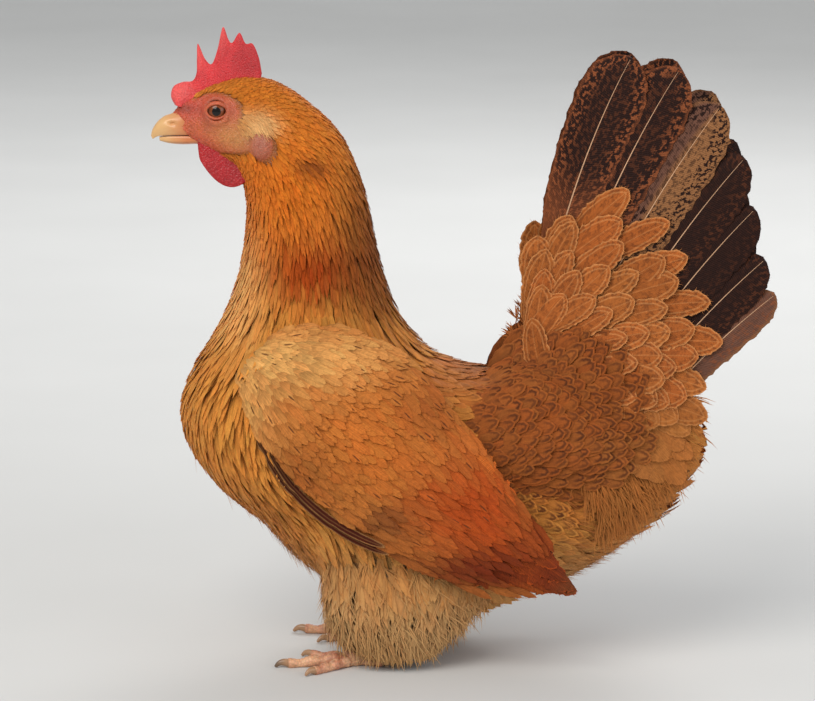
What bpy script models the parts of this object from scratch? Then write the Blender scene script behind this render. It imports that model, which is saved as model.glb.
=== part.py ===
"""A life-size bantam hen, standing, as a still model.

The hen faces -X, +Y is its right side, +Z is up, and it stands on z = 0. Body, neck and head are one loft
that is parted by thin gaps. The wings and the tail are feather vanes laid on smooth surfaces that hug the
body. Lengths in the tables are in millimetres.
"""

import math

import bpy
import bmesh
import numpy as np
from mathutils import Vector
from mathutils.bvhtree import BVHTree

MM = 0.001
GAP = 0.3
SIDES = {"left": -1.0, "right": 1.0}

# Each row of the body is a slice: back line x, z, underside line x, z, and half the width.
BODY = np.array([
    (-140.0, 264.3, -129.0, 250.0, 6.0),  # root of the beak
    (-134.0, 271.0, -123.5, 246.0, 8.6),
    (-122.0, 277.5, -117.0, 243.0, 11.6),  # eye
    (-107.0, 281.5, -110.0, 238.5, 14.0),
    (-93.0, 280.0, -106.5, 231.0, 15.6),  # ear
    (-78.0, 271.5, -105.0, 221.0, 18.0),  # head meets neck
    (-60.0, 254.0, -105.5, 209.0, 21.0),
    (-49.0, 228.0, -107.0, 198.0, 24.0),
    (-42.5, 198.0, -110.5, 182.0, 29.0),
    (-36.0, 176.0, -119.0, 162.0, 34.0),  # neck meets torso
    (-28.0, 161.0, -132.0, 140.0, 40.0),
    (-19.0, 151.0, -137.5, 122.0, 45.0),
    (-8.0, 145.5, -133.5, 103.0, 48.0),  # front of the breast
    (3.0, 142.0, -119.0, 83.0, 50.0),
    (14.0, 141.0, -99.0, 66.0, 50.0),
    (25.0, 142.5, -76.0, 43.0, 49.0),
    (36.0, 145.0, -45.0, 26.0, 47.0),  # belly
    (48.0, 147.0, -12.0, 22.0, 44.0),
    (62.0, 147.0, 25.0, 29.0, 40.0),
    (78.0, 143.0, 59.0, 44.0, 35.0),
    (94.0, 135.0, 87.0, 65.0, 28.0),
    (105.0, 123.0, 103.0, 87.0, 17.0),
])
HEAD_END = 5.0
NECK_END = 9.0
BODY_END = len(BODY) - 1.0
BODY_TIP = (111.0, 106.0)
BODY_SEGMENTS = 26
SAG = 0.10

EYE = {"x": -118.2, "z": 266.8, "y": 8.3, "radius": 5.2}
# The ring of the lids: radius, thickness, how far out it lies, and its stretch along and across the head.
LID = {"radius": 4.6, "wire": 0.95, "out": 2.7, "long": 1.15, "high": 0.92}
LID_STEPS = 14
LID_SIDES = 5
EAR_LOBE = {"x": -97.8, "z": 251.5, "y": 14.2, "size": (5.0, 2.6, 6.8)}

# Slices of the two halves of the bill: upper line x, z, lower line x, z, and half the width.
BILL_TOP = np.array([
    (-140.3, 264.0, -130.2, 254.4, 5.7),
    (-143.6, 262.8, -136.0, 254.3, 5.0),
    (-146.8, 260.2, -142.0, 254.0, 3.8),
    (-149.2, 256.6, -146.6, 253.4, 2.2),
    (-150.0, 253.6, -149.2, 251.9, 0.9),
])
BILL_LOW = np.array([
    (-129.9, 253.9, -129.2, 249.6, 5.1),
    (-135.0, 253.8, -134.6, 249.4, 4.5),
    (-141.0, 253.5, -140.8, 249.8, 3.3),
    (-146.0, 252.9, -145.8, 251.0, 1.6),
])
NOSTRIL = {"x": -141.6, "y": 4.2, "z": 259.4, "size": (1.9, 1.3, 0.8)}

# The comb's edge from front to back: base x, then edge x, z; points and notches take turns.
COMB_EDGE = np.array([
    (-140.0, -140.6, 268.0),
    (-138.5, -139.8, 276.0),
    (-136.0, -136.8, 279.0),
    (-132.5, -131.0, 279.2),
    (-129.5, -128.4, 282.0),
    (-127.5, -127.6, 290.0),
    (-125.5, -126.6, 298.4),
    (-123.0, -123.8, 291.0),
    (-120.5, -120.6, 288.5),
    (-118.5, -118.6, 296.0),
    (-116.5, -116.2, 306.0),
    (-114.0, -113.4, 300.0),
    (-111.5, -111.0, 298.0),
    (-109.0, -107.6, 302.6),
    (-106.0, -104.8, 297.6),
    (-103.5, -101.4, 297.4),
    (-100.5, -98.6, 291.0),
    (-98.5, -97.2, 283.4),
])
COMB_ROOT_DEPTH = 5.0
COMB_HALF = (2.0, 1.7, 1.3, 0.8)

# A wattle: where its root starts and ends, how far it hangs, its distance from the middle, half its
# thickness, how much it leans outwards as it hangs, how deep its root is sunk, and how much its folds sway.
WATTLE = {"front": (-128.0, 251.5), "back": (-106.5, 244.5), "drop": 18.0, "y": 4.6, "half": 1.7,
          "lean": 0.16, "sunk": 3.5, "sway": 0.8}
WATTLE_GRID = (9, 6)

# Folded wing, in side view: the axis runs from the shoulder to the tip.
WING_AXIS = ((-104.0, 154.0), (52.0, 42.0))
WING_AT = (0.0, 0.05, 0.15, 0.27, 0.40, 0.52, 0.64, 0.76, 0.87, 0.95, 1.0)
WING_UP = (9.0, 26.0, 37.0, 42.5, 39.5, 34.0, 27.0, 19.5, 11.5, 5.5, 1.6)
WING_DOWN = (9.0, 16.0, 31.0, 38.0, 40.0, 36.5, 34.0, 28.5, 19.5, 10.5, 1.6)
# Pads that the wing's rows of feathers grow from: how far they run, as shares of the length and width,
# and the heights of their outer faces at the middle and at the rim.
WING_PADS = (
    {"ends": (0.0, 0.50), "span": 1.0, "top": 3.7, "rim": 1.2, "under": -9.5},
    {"ends": (0.025, 0.33), "span": 0.94, "top": 7.0, "rim": 1.5, "under": -5.0},
    {"ends": (0.05, 0.20), "span": 0.84, "top": 9.6, "rim": 3.0, "under": -3.0},
)
# A slab that covers the whole folded wing, used to cut the thighs clear of it.
WING_COVER = {"ends": (0.0, 0.97), "span": 1.06, "top": 4.0, "rim": 4.0, "under": -14.0}
# Rows of wing feathers: each feather runs from a root to a tip, given as shares of length and width.
PRIMARIES = {"count": 4, "root": 0.10, "tips": (0.72, 0.81, 0.89, 0.965), "inset": 5.0, "step": 3.8,
             "width": 11.0, "height": -3.2, "layer": 1.3, "depth": 0.8}
WING_ROWS = (
    {"root": 0.40, "roots": (0.72, 0.43, 0.14, -0.15, -0.43, -0.7),
     "tips": ((0.80, 0.86), (0.89, 0.70), (0.965, 0.40), (1.0, -0.3), (0.94, -0.66), (0.85, -0.84)),
     "width": 17.0, "height": 1.75, "layer": 0.45, "depth": 0.8, "tilt": 1.1},
    {"root": 0.24, "roots": (0.70, 0.34, -0.02, -0.38, -0.70),
     "tips": ((0.62, 0.87), (0.65, 0.46), (0.66, 0.06), (0.645, -0.34), (0.60, -0.74)),
     "width": 22.0, "height": 5.4, "layer": 0.0, "depth": 0.75, "tilt": 0.85},
    {"root": 0.11, "roots": (0.58, 0.2, -0.2, -0.58),
     "tips": ((0.44, 0.80), (0.47, 0.30), (0.46, -0.20), (0.42, -0.68)),
     "width": 26.0, "height": 8.2, "layer": 0.0, "depth": 0.75, "tilt": 0.7},
)
WING_X = (-115.0, -95.0, -60.0, -20.0, 15.0, 45.0, 65.0)
WING_HALF = (37.0, 43.0, 48.5, 52.5, 53.0, 49.5, 46.0)
WING_MID_Z = (120.0, 112.0, 102.0, 95.0, 84.0, 69.0, 59.0)
WING_RISE = (74.0, 80.0, 84.0, 66.0, 60.0, 58.0, 58.0)

# Main tail feathers, the middle one first, in side view: root x, z, tip x, z, and full width.
MAIN_TAIL = (
    (26.5, 152.0, 77.0, 291.5, 31.0),
    (36.0, 149.0, 99.0, 287.0, 28.0),
    (46.0, 143.0, 118.0, 271.0, 26.0),
    (55.0, 136.0, 129.5, 247.0, 25.0),
    (63.0, 128.0, 135.0, 223.0, 23.0),
    (70.0, 119.0, 140.0, 199.0, 21.0),
    (74.0, 109.0, 148.5, 177.0, 18.0),
)
MAIN_TAIL_BEND = 0.05
MAIN_TAIL_FORM = {"height": 0.4, "depth": 0.8, "tilt": 1.3}
TAIL_PLATE = {"ends": (-0.06, 0.42), "top": 2.6, "under": (-16.0, -3.0)}
TAIL_MOUND = {"centre": (50.0, 0.0, 134.0), "size": (30.0, 27.0, 30.0)}
TAIL_RIDGE = ((24.0, 150.0), (66.0, 292.0))
TAIL_OPEN = {"ridge": 5.5, "edge": 30.0, "reach": 120.0, "base": 14.0, "base_x": 62.0, "base_z": 136.0,
             "spread": 38.0}
# Coverts fan out from one point in tiers, each from the end of its own plate. Angles are from the level.
COVERT_FAN = (42.0, 128.0)
COVERT_PLATE_ANGLES = (97, 87, 58, 30, 2, -26, -36)
TAIL_COVERTS = (
    {"angles": (74, 58, 41, 24, 7, -11), "reach": (95, 101, 91, 85, 76, 73), "root": 44, "width": 24,
     "height": 4.1, "depth": 0.75, "tilt": 0.75, "plate": {"ends": (6, 52), "top": 5.4, "under": -4.0}},
    {"angles": (80, 62, 43, 24, 4), "reach": (66, 74, 69, 64, 58), "root": 24, "width": 24,
     "height": 7.0, "depth": 0.75, "tilt": 0.75, "plate": {"ends": (3, 33), "top": 8.3, "under": -2.0}},
    {"angles": (75, 52, 28, 5), "reach": (46, 51, 49, 44), "root": 9, "width": 23,
     "height": 9.9, "depth": 0.75, "tilt": 0.75, "plate": {"ends": (1, 17), "top": 11.2, "under": -1.0}},
)

LEG_Y = 25.0
FOOT_SET_BACK = {"left": 0.0, "right": 7.0}
# Feathered thigh, from the top down: height, centre x, half length, half width.
THIGH = (
    (60.0, -28.0, 42.0, 22.0),
    (40.0, -28.0, 41.0, 21.0),
    (24.0, -31.0, 36.0, 20.0),
    (13.0, -31.0, 29.0, 17.5),
    (5.0, -27.0, 20.0, 13.5),
    (0.0, -23.0, 13.0, 9.0),
)
THIGH_SIDES = 16
THIGH_STEPS = 8
HOCK = (-34.0, 20.0)
ANKLE = (-53.0, 8.0)
SHANK_RADIUS = 4.4
HOCK_RADIUS = 5.4
FOOT_BALL = {"back": 1.0, "z": 4.4, "size": (6.0, 5.4, 4.6)}
# Toes: turn from straight ahead in degrees, length, joints, radius at the root.
TOES = {
    "middle": (8.0, 33.0, 3, 3.1),
    "inner": (-27.0, 24.0, 2, 2.8),
    "outer": (40.0, 26.0, 4, 2.8),
    "hind": (166.0, 13.0, 1, 2.5),
}
# How a toe thins to its end, swells at its pads, and arches off the floor.
TOE_FORM = {"taper": 0.30, "pads": 0.12, "flat": 0.86, "arch": 0.64}
CLAW_LENGTH = {"middle": 6.6, "inner": 6.2, "outer": 5.6, "hind": 5.0}
# A claw: its root as a share of the toe, how deep it is sunk, its bend in radians, its rise, and its end.
CLAW_FORM = {"root": 0.62, "sunk": 1.4, "bend": 1.25, "rise": 1.1, "end_z": 0.75, "end": 0.35}
# Corners of the boxes that cut off what lies under the floor and beyond the middle of the tail.
UNDER_FLOOR = ((-200.0, -100.0, -20.0), (100.0, 100.0, 0.0))
HALF_SPACE = {"x": (-50.0, 200.0), "y": 60.0, "z": (50.0, 320.0)}

COLOURS = {
    "plumage_gold": (0.62, 0.27, 0.07),
    "plumage_wing": (0.60, 0.27, 0.08),
    "plumage_tail": (0.34, 0.15, 0.06),
    "fluff": (0.66, 0.40, 0.18),
    "comb_red": (0.62, 0.05, 0.05),
    "bill_horn": (0.72, 0.50, 0.26),
    "eye_brown": (0.10, 0.03, 0.01),
    "foot_skin": (0.66, 0.48, 0.30),
    "claw_horn": (0.30, 0.24, 0.17),
}
ROUGHNESS = {"eye_brown": 0.08, "bill_horn": 0.35, "claw_horn": 0.4, "comb_red": 0.5}


def clear_scene():
    for obj in list(bpy.data.objects):
        bpy.data.objects.remove(obj, do_unlink=True)


def material(name):
    made = bpy.data.materials.get(name)
    if made is None:
        made = bpy.data.materials.new(name)
        made.use_nodes = True
        shader = made.node_tree.nodes["Principled BSDF"]
        shader.inputs["Base Color"].default_value = (*COLOURS[name], 1.0)
        shader.inputs["Roughness"].default_value = ROUGHNESS.get(name, 0.75)
        shader.inputs["Metallic"].default_value = 0.0
    return made


def signed_volume(points, faces):
    total = 0.0
    for face in faces:
        for k in range(1, len(face) - 1):
            a, b, c = points[face[0]], points[face[k]], points[face[k + 1]]
            total += float(np.dot(a, np.cross(b, c)))
    return total / 6.0


def solid(name, points, faces, finish):
    """A mesh object from points in millimetres; its faces are turned to point outwards."""
    points = np.asarray(points, float)
    if signed_volume(points, faces) < 0:
        faces = [tuple(reversed(face)) for face in faces]
    mesh = bpy.data.meshes.new(name)
    mesh.from_pydata([tuple(p * MM) for p in points], [], [tuple(f) for f in faces])
    mesh.validate()
    obj = bpy.data.objects.new(name, mesh)
    obj.data.materials.append(material(finish))
    bpy.context.scene.collection.objects.link(obj)
    return obj


def along(rows, place):
    """The smooth value between the rows of a table, by a Catmull-Rom curve."""
    rows = np.asarray(rows, float)
    last = len(rows) - 1
    i = int(min(max(math.floor(place), 0), last - 1))
    f = place - i
    a, b, c, d = (rows[min(max(k, 0), last)] for k in (i - 1, i, i + 1, i + 2))
    return 0.5 * (2 * b + (c - a) * f + (2 * a - 5 * b + 4 * c - d) * f**2 + (3 * b - a - 3 * c + d) * f**3)


def slice_ring(row, segments, sag=0.0, level=0):
    """A closed ring through the upper and lower point of a slice.

    sag widens its lower half. level makes it D-shaped, with a flat upper (1) or lower (-1) side.
    """
    top, low = np.array((row[0], 0.0, row[1])), np.array((row[2], 0.0, row[3]))
    middle, reach = (top + low) / 2, (top - low) / 2
    ring = []
    for k in range(segments):
        angle = 2 * math.pi * k / segments
        up, side = math.cos(angle), math.sin(angle)
        across = row[4] * side * (1 - sag * up)
        if up * level > 0:
            up = level * min(1.0, 2.4 * abs(up))
        ring.append(middle + reach * up + np.array((0.0, across, 0.0)))
    return ring


def loft(rings, first_tip=None, last_tip=None):
    """Points and faces of a closed tube through rings of equal count, each end closed by a fan."""
    count = len(rings[0])
    points = [p for ring in rings for p in ring]
    faces = []
    for i in range(len(rings) - 1):
        for k in range(count):
            a, b = i * count + k, i * count + (k + 1) % count
            faces.append((a, b, b + count, a + count))
    for start, tip, turn in ((0, first_tip, 1), ((len(rings) - 1) * count, last_tip, -1)):
        ring = points[start:start + count]
        points.append(np.mean(ring, axis=0) if tip is None else np.array(tip, float))
        hub = len(points) - 1
        for k in range(count):
            faces.append((hub, start + (k + 1) % count, start + k)[::turn])
    return points, faces


def body_length(name, start, end, steps, finish, last_tip=None):
    rings = [slice_ring(along(BODY, t), BODY_SEGMENTS, SAG) for t in np.linspace(start, end, steps)]
    return solid(name, *loft(rings, last_tip=last_tip), finish)


def past_gap(place):
    """The place just past a cut across the body, at least one gap further along on every side."""
    here, there = along(BODY, place), along(BODY, place + 0.01)
    step = min(math.hypot(*(there - here)[0:2]), math.hypot(*(there - here)[2:4]))
    return place + 0.01 * GAP * 1.3 / step


def ellipsoid(name, centre, size, finish, rings=7, segments=12):
    bands = []
    for i in range(1, rings):
        tilt = math.pi * i / rings
        bands.append([
            np.array(centre) + np.array(size) * np.array((
                math.sin(tilt) * math.cos(2 * math.pi * k / segments),
                math.sin(tilt) * math.sin(2 * math.pi * k / segments),
                math.cos(tilt),
            ))
            for k in range(segments)
        ])
    top = np.array(centre) + np.array((0.0, 0.0, size[2]))
    low = np.array(centre) - np.array((0.0, 0.0, size[2]))
    return solid(name, *loft(bands, first_tip=top, last_tip=low), finish)


def evaluated_copy(obj):
    graph = bpy.context.evaluated_depsgraph_get()
    return bpy.data.meshes.new_from_object(obj.evaluated_get(graph))


def apply_modifiers(obj):
    bpy.context.view_layer.update()
    made = evaluated_copy(obj)
    old = obj.data
    obj.modifiers.clear()
    obj.data = made
    bpy.data.meshes.remove(old)


def keep_largest(obj):
    """Keeps the closed surface that holds the most volume, and drops the others."""
    work = bmesh.new()
    work.from_mesh(obj.data)
    seen, groups = set(), []
    for start in work.faces:
        if start in seen:
            continue
        group, todo = [], [start]
        seen.add(start)
        while todo:
            face = todo.pop()
            group.append(face)
            for edge in face.edges:
                for other in edge.link_faces:
                    if other not in seen:
                        seen.add(other)
                        todo.append(other)
        groups.append(group)

    def held(group):
        total = 0.0
        for face in group:
            corners = [v.co for v in face.verts]
            for k in range(1, len(corners) - 1):
                total += corners[0].dot(corners[k].cross(corners[k + 1]))
        return abs(total)

    best = max(groups, key=held)
    spare = [face for group in groups if group is not best for face in group]
    bmesh.ops.delete(work, geom=spare, context="FACES")
    work.to_mesh(obj.data)
    work.free()


def combine(obj, others, operation, solver="EXACT"):
    """One Boolean of obj with all the others, applied; the others are then removed.

    The feathered nodes use the MANIFOLD solver: there, EXACT can leave slits where vanes cross at low angles.
    """
    group = bpy.data.collections.new("pieces")
    for other in others:
        group.objects.link(other)
    boolean = obj.modifiers.new("join", "BOOLEAN")
    boolean.operation = operation
    boolean.operand_type = "COLLECTION"
    boolean.collection = group
    boolean.solver = solver
    apply_modifiers(obj)
    for other in others:
        bpy.data.objects.remove(other, do_unlink=True)
    bpy.data.collections.remove(group)
    keep_largest(obj)
    return obj


def union(name, pieces, solver="EXACT"):
    first = pieces[0]
    first.name = name
    return combine(first, pieces[1:], "UNION", solver) if len(pieces) > 1 else first


def grown(obj, by=GAP * 1.25):
    """A copy of a solid, swollen along its normals, used to cut its neighbours clear of it."""
    copy = obj.copy()
    copy.data = obj.data.copy()
    copy.name = obj.name + "_cutter"
    bpy.context.scene.collection.objects.link(copy)
    mesh = copy.data
    shifts = [vertex.normal.copy() for vertex in mesh.vertices]
    for vertex, shift in zip(mesh.vertices, shifts):
        vertex.co += shift * by * MM
    return copy


def cut_clear(obj, *neighbours, solver="EXACT"):
    return combine(obj, [grown(n) for n in neighbours], "DIFFERENCE", solver)


def remove(*objects):
    for obj in objects:
        bpy.data.objects.remove(obj, do_unlink=True)


def side_view_reach(obj):
    """A function that gives how far out an object reaches at a place in side view, or 0 beside it."""
    mesh = obj.data
    corners = [v.co.copy() for v in mesh.vertices]
    tree = BVHTree.FromPolygons(corners, [tuple(p.vertices) for p in mesh.polygons])

    def reach(x, z):
        hit = tree.ray_cast(Vector((x * MM, -1.0, z * MM)), Vector((0.0, 1.0, 0.0)))[0]
        return -hit.y / MM if hit else 0.0

    return reach


def soft_max(a, b, sharp=6.0):
    return (max(a, 0.1) ** sharp + max(b, 0.1) ** sharp) ** (1 / sharp)


class Surface:
    """A smooth surface beside the body: half width as a function of the place in side view."""

    def __init__(self, half_width):
        self.half_width = half_width

    def point(self, x, z, out, side):
        step = 1.5
        here = self.half_width(x, z)
        slope_x = (self.half_width(x + step, z) - self.half_width(x - step, z)) / (2 * step)
        slope_z = (self.half_width(x, z + step) - self.half_width(x, z - step)) / (2 * step)
        slope_x, slope_z = (max(-1.6, min(1.6, s)) for s in (slope_x, slope_z))
        normal = np.array((-slope_x, 1.0, -slope_z))
        normal /= np.linalg.norm(normal)
        placed = np.array((x, here, z)) + normal * out
        return placed * np.array((1.0, side, 1.0))


def plate_faces(rows, columns):
    """Triangles of a closed plate: two grids of points, one after the other, and the wall round them."""
    far = rows * columns
    faces = []
    for i in range(rows - 1):
        for j in range(columns - 1):
            a, b = i * columns + j, i * columns + j + 1
            c, d = b + columns, a + columns
            faces += [(a, b, c), (a, c, d), (far + a, far + c, far + b), (far + a, far + d, far + c)]
    rim = [(0, j) for j in range(columns)]
    rim += [(i, columns - 1) for i in range(1, rows)]
    rim += [(rows - 1, j) for j in range(columns - 2, -1, -1)]
    rim += [(i, 0) for i in range(rows - 2, 0, -1)]
    loop = [i * columns + j for i, j in rim]
    for k, a in enumerate(loop):
        b = loop[(k + 1) % len(loop)]
        faces += [(b, a, far + a), (b, far + a, far + b)]
    return faces


def slab(name, surface, grid, outer, inner, side, finish):
    """A closed plate on a surface: grid[i][j] is x, z in side view, outer and inner its faces' heights."""
    points = []
    for heights in (outer, inner):
        for spots, row in zip(grid, heights):
            points += [surface.point(*spot, height, side) for spot, height in zip(spots, row)]
    return solid(name, points, plate_faces(len(grid), len(grid[0])), finish)


# Where a feather has rows of points, as shares of its length, and how wide it is there.
LONG = ((0.0, 0.3, 0.6, 0.82, 0.95, 1.0), (0.5, 0.8, 1.0, 0.92, 0.62, 0.22))
MIDDLING = ((0.0, 0.42, 0.75, 0.93, 1.0), (0.6, 0.92, 1.0, 0.68, 0.24))
SHORT = ((0.0, 0.5, 0.86, 1.0), (0.6, 1.0, 0.80, 0.28))
CAMBER = 0.3


def vane(surface, side, route, rows, form, up_edge, finish):
    """One feather: a thin, slightly arched plate along a route, whose root lies inside a pad or plate.

    Feathers of a row lie like shingles: the edge on the up_edge side stands higher, and the other one is
    tucked under the neighbour with a gap between them.
    """
    route = np.array(route)
    ahead = np.gradient(route, axis=0)
    ahead /= np.linalg.norm(ahead, axis=1)[:, None]
    across = np.stack((ahead[:, 1], -ahead[:, 0]), axis=1)
    grid, outer, inner = [], [], []
    for i, share in enumerate(rows[1]):
        half = form["width"] / 2 * share
        grid.append([route[i] + across[i] * half * c for c in (-1, 0, 1)])
        heights = [form["height"] + form["tilt"] * c * up_edge + CAMBER * (1 - c * c) for c in (-1, 0, 1)]
        outer.append(heights)
        inner.append([h - form["depth"] for h in heights])
    return slab("vane", surface, grid, outer, inner, side, finish)


def make_head():
    head = body_length("head", 0.0, HEAD_END, 11, "plumage_gold")
    pieces = [head]
    for side in SIDES.values():
        pieces.append(eyelid(side))
        lobe_centre = (EAR_LOBE["x"], side * EAR_LOBE["y"], EAR_LOBE["z"])
        pieces.append(ellipsoid("lobe", lobe_centre, EAR_LOBE["size"], "plumage_gold", 5, 10))
    union("head", pieces)
    radius = EYE["radius"] + GAP
    sockets = [
        ellipsoid("socket", (EYE["x"], side * EYE["y"], EYE["z"]), (radius,) * 3, "eye_brown", 8, 14)
        for side in SIDES.values()
    ]
    return combine(head, sockets, "DIFFERENCE")


def eyelid(side):
    """A ring round the eye, pulled a little longer than it is high."""
    points = []
    for i in range(LID_STEPS):
        turn = 2 * math.pi * i / LID_STEPS
        out = np.array((math.cos(turn) * LID["long"], 0.0, math.sin(turn) * LID["high"]))
        for k in range(LID_SIDES):
            roll = 2 * math.pi * k / LID_SIDES
            reach = LID["radius"] + LID["wire"] * math.cos(roll)
            depth = EYE["y"] + LID["out"] + LID["wire"] * math.sin(roll)
            points.append(np.array((EYE["x"], side * depth, EYE["z"])) + out * reach)
    faces = []
    for i in range(LID_STEPS):
        for k in range(LID_SIDES):
            ahead = (i + 1) % LID_STEPS * LID_SIDES
            a, b = i * LID_SIDES + k, i * LID_SIDES + (k + 1) % LID_SIDES
            faces.append((a, b, ahead + (k + 1) % LID_SIDES, ahead + k))
    return solid("lid", points, faces, "plumage_gold")


def make_eye(name, side):
    centre = (EYE["x"], side * EYE["y"], EYE["z"])
    return ellipsoid(name, centre, (EYE["radius"],) * 3, "eye_brown", 8, 14)


def make_bill(name, table, steps, level, segments=12):
    places = np.linspace(0, len(table) - 1, steps)
    rings = [slice_ring(along(table, place), segments, level=level) for place in places]
    return solid(name, *loft(rings), "bill_horn")


def bore_nostrils(bill):
    spot = NOSTRIL
    holes = [
        ellipsoid("nostril", (spot["x"], side * spot["y"], spot["z"]), spot["size"], "bill_horn", 5, 8)
        for side in SIDES.values()
    ]
    return combine(bill, holes, "DIFFERENCE")


def make_comb():
    """A blade that stands on the head's ridge and thins towards its points."""
    points = []
    for side in (-1.0, 1.0):
        for base_x, edge_x, edge_z in COMB_EDGE:
            base_z = ridge_height(base_x) - COMB_ROOT_DEPTH
            for share, half in zip(np.linspace(0, 1, len(COMB_HALF)), COMB_HALF):
                x = base_x + (edge_x - base_x) * share
                z = base_z + (edge_z - base_z) * share
                points.append((x, side * half, z))
    return solid("comb", points, plate_faces(len(COMB_EDGE), len(COMB_HALF)), "comb_red")


def ridge_height(x):
    """Height of the head's top line at x."""
    backs = np.array([along(BODY, t)[0:2] for t in np.linspace(0, HEAD_END, 60)])
    return float(np.interp(x, backs[:, 0], backs[:, 1]))


def make_wattle(name, side):
    """A hanging lobe, folded lightly across, with its upper edge sunk in the chin."""
    front, back = np.array(WATTLE["front"]), np.array(WATTLE["back"])
    points = []
    for face in (-1.0, 1.0):
        for u in np.linspace(0, 1, WATTLE_GRID[0]):
            top = front + (back - front) * u
            deep = WATTLE["drop"] * math.sin(math.pi * (0.14 + 0.76 * u)) ** 0.8
            edge = math.sin(math.pi * min(max(u, 0.06), 0.94)) ** 0.5
            for v in np.linspace(0, 1, WATTLE_GRID[1]):
                down = (deep + WATTLE["sunk"]) * v - WATTLE["sunk"]
                x = top[0] + 7.0 * v * (u - 0.25) * (1 - 0.35 * v) + 3.0 * v
                fold = WATTLE["sway"] * math.sin(7.0 * u + 2.0 * v) * v
                thick = WATTLE["half"] * (1.0 - 0.55 * v * v) * (0.35 + 0.65 * edge)
                y = WATTLE["y"] + WATTLE["lean"] * max(down, 0.0) + fold + face * thick
                points.append((x, side * y, top[1] - down))
    return solid(name, points, plate_faces(*WATTLE_GRID), "comb_red")


def wing_surface(torso_reach):
    """Widest at mid height, rounding over the back above it and falling almost straight below it."""

    def half_width(x, z):
        widest = np.interp(x, WING_X, WING_HALF)
        middle = np.interp(x, WING_X, WING_MID_Z)
        rise = np.interp(x, WING_X, WING_RISE)
        if z > middle:
            plain = widest * math.sqrt(1 - min(0.95, (z - middle) / rise) ** 2)
        else:
            plain = widest - 0.0016 * (middle - z) ** 2
        return soft_max(plain, torso_reach(x, z) + 2.0, 10.0)

    return Surface(half_width)


def wing_place(share, across):
    """A place in side view: share of the way from the shoulder to the tip, and across from -1 to 1."""
    start, end = np.array(WING_AXIS[0]), np.array(WING_AXIS[1])
    line = (end - start) / np.linalg.norm(end - start)
    up = np.array((-line[1], line[0]))
    half = np.interp(share, WING_AT, WING_UP if across > 0 else WING_DOWN)
    return start + (end - start) * share + up * half * across


def wing_pad(surface, side, pad):
    """A thin pad of flesh and hidden feathers, domed to its rim and cut off square at its row."""
    acrosses = (-1.0, -0.86, -0.5, 0.0, 0.5, 0.86, 1.0)
    start, end = pad["ends"]
    shares = [start + (end - start) * u for u in (0.0, 0.1, 0.3, 0.55, 0.8, 1.0)]
    grid, outer, inner = [], [], []
    for i, share in enumerate(shares):
        grid.append([wing_place(share, a * pad["span"]) for a in acrosses])
        front = 1.0 if i == 0 else 0.35 if i == 1 else 0.0
        outer.append([pad["top"] + (pad["rim"] - pad["top"]) * max(a**6, front) for a in acrosses])
        inner.append([pad["under"] * (1 - 0.4 * max(a**6, front)) for a in acrosses])
    return slab("pad", surface, grid, outer, inner, side, "plumage_wing")


def make_wing(name, side, surface):
    """Pads with rows of feathers; each row lies on the one behind it, and the primaries lie below all."""
    pieces = [wing_pad(surface, side, pad) for pad in WING_PADS]
    pieces += primaries(surface, side)
    for row in WING_ROWS:
        rows = MIDDLING if row is WING_ROWS[0] else SHORT
        middle = (len(row["roots"]) - 1) / 2
        for k, (across, tip) in enumerate(zip(row["roots"], row["tips"])):
            ends = np.array(((row["root"], across), tip))
            route = [wing_place(*(ends[0] + (ends[1] - ends[0]) * u)) for u in rows[0]]
            form = dict(row, height=row["height"] + row["layer"] * (middle - k))
            pieces.append(vane(surface, side, route, rows, form, 1.0, "plumage_wing"))
    return union(name, pieces, "MANIFOLD")


def primaries(surface, side):
    """Long narrow feathers stacked along the folded wing's lower edge, each showing below the last."""
    made = []
    for k in range(PRIMARIES["count"]):
        tip = PRIMARIES["tips"][k]
        inset = PRIMARIES["inset"] + PRIMARIES["step"] * (PRIMARIES["count"] - 1 - k)
        route = []
        for u in MIDDLING[0]:
            share = PRIMARIES["root"] + (tip - PRIMARIES["root"]) * u
            down = np.interp(share, WING_AT, WING_DOWN)
            route.append(wing_place(share, (inset - down) / down))
        form = dict(PRIMARIES, height=PRIMARIES["height"] - PRIMARIES["layer"] * k, tilt=0.0)
        made.append(vane(surface, side, route, MIDDLING, form, 1.0, "plumage_wing"))
    return made


def tail_surface(torso_reach):
    """Two sides that meet in a narrow ridge at the front and open towards the rear and the base."""
    start, end = np.array(TAIL_RIDGE[0]), np.array(TAIL_RIDGE[1])
    line = (end - start) / np.linalg.norm(end - start)
    back = np.array((line[1], -line[0]))
    shape = TAIL_OPEN

    def half_width(x, z):
        off = max(0.0, float(np.dot(np.array((x, z)) - start, back)))
        tent = shape["ridge"] + shape["edge"] * (off / shape["reach"]) ** 0.85
        near = math.exp(-((x - shape["base_x"]) ** 2 + (z - shape["base_z"]) ** 2) / shape["spread"] ** 2)
        return soft_max(tent + shape["base"] * near, torso_reach(x, z) + 1.5, 8.0)

    return Surface(half_width)


def bent(root, tip, bend, rows):
    """Points from root to tip along an arc that bows forwards by a share of the length."""
    root, tip = np.array(root), np.array(tip)
    forwards = np.array((-(tip - root)[1], (tip - root)[0]))
    return [root + (tip - root) * u + forwards * bend * 4 * u * (1 - u) for u in rows[0]]


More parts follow.
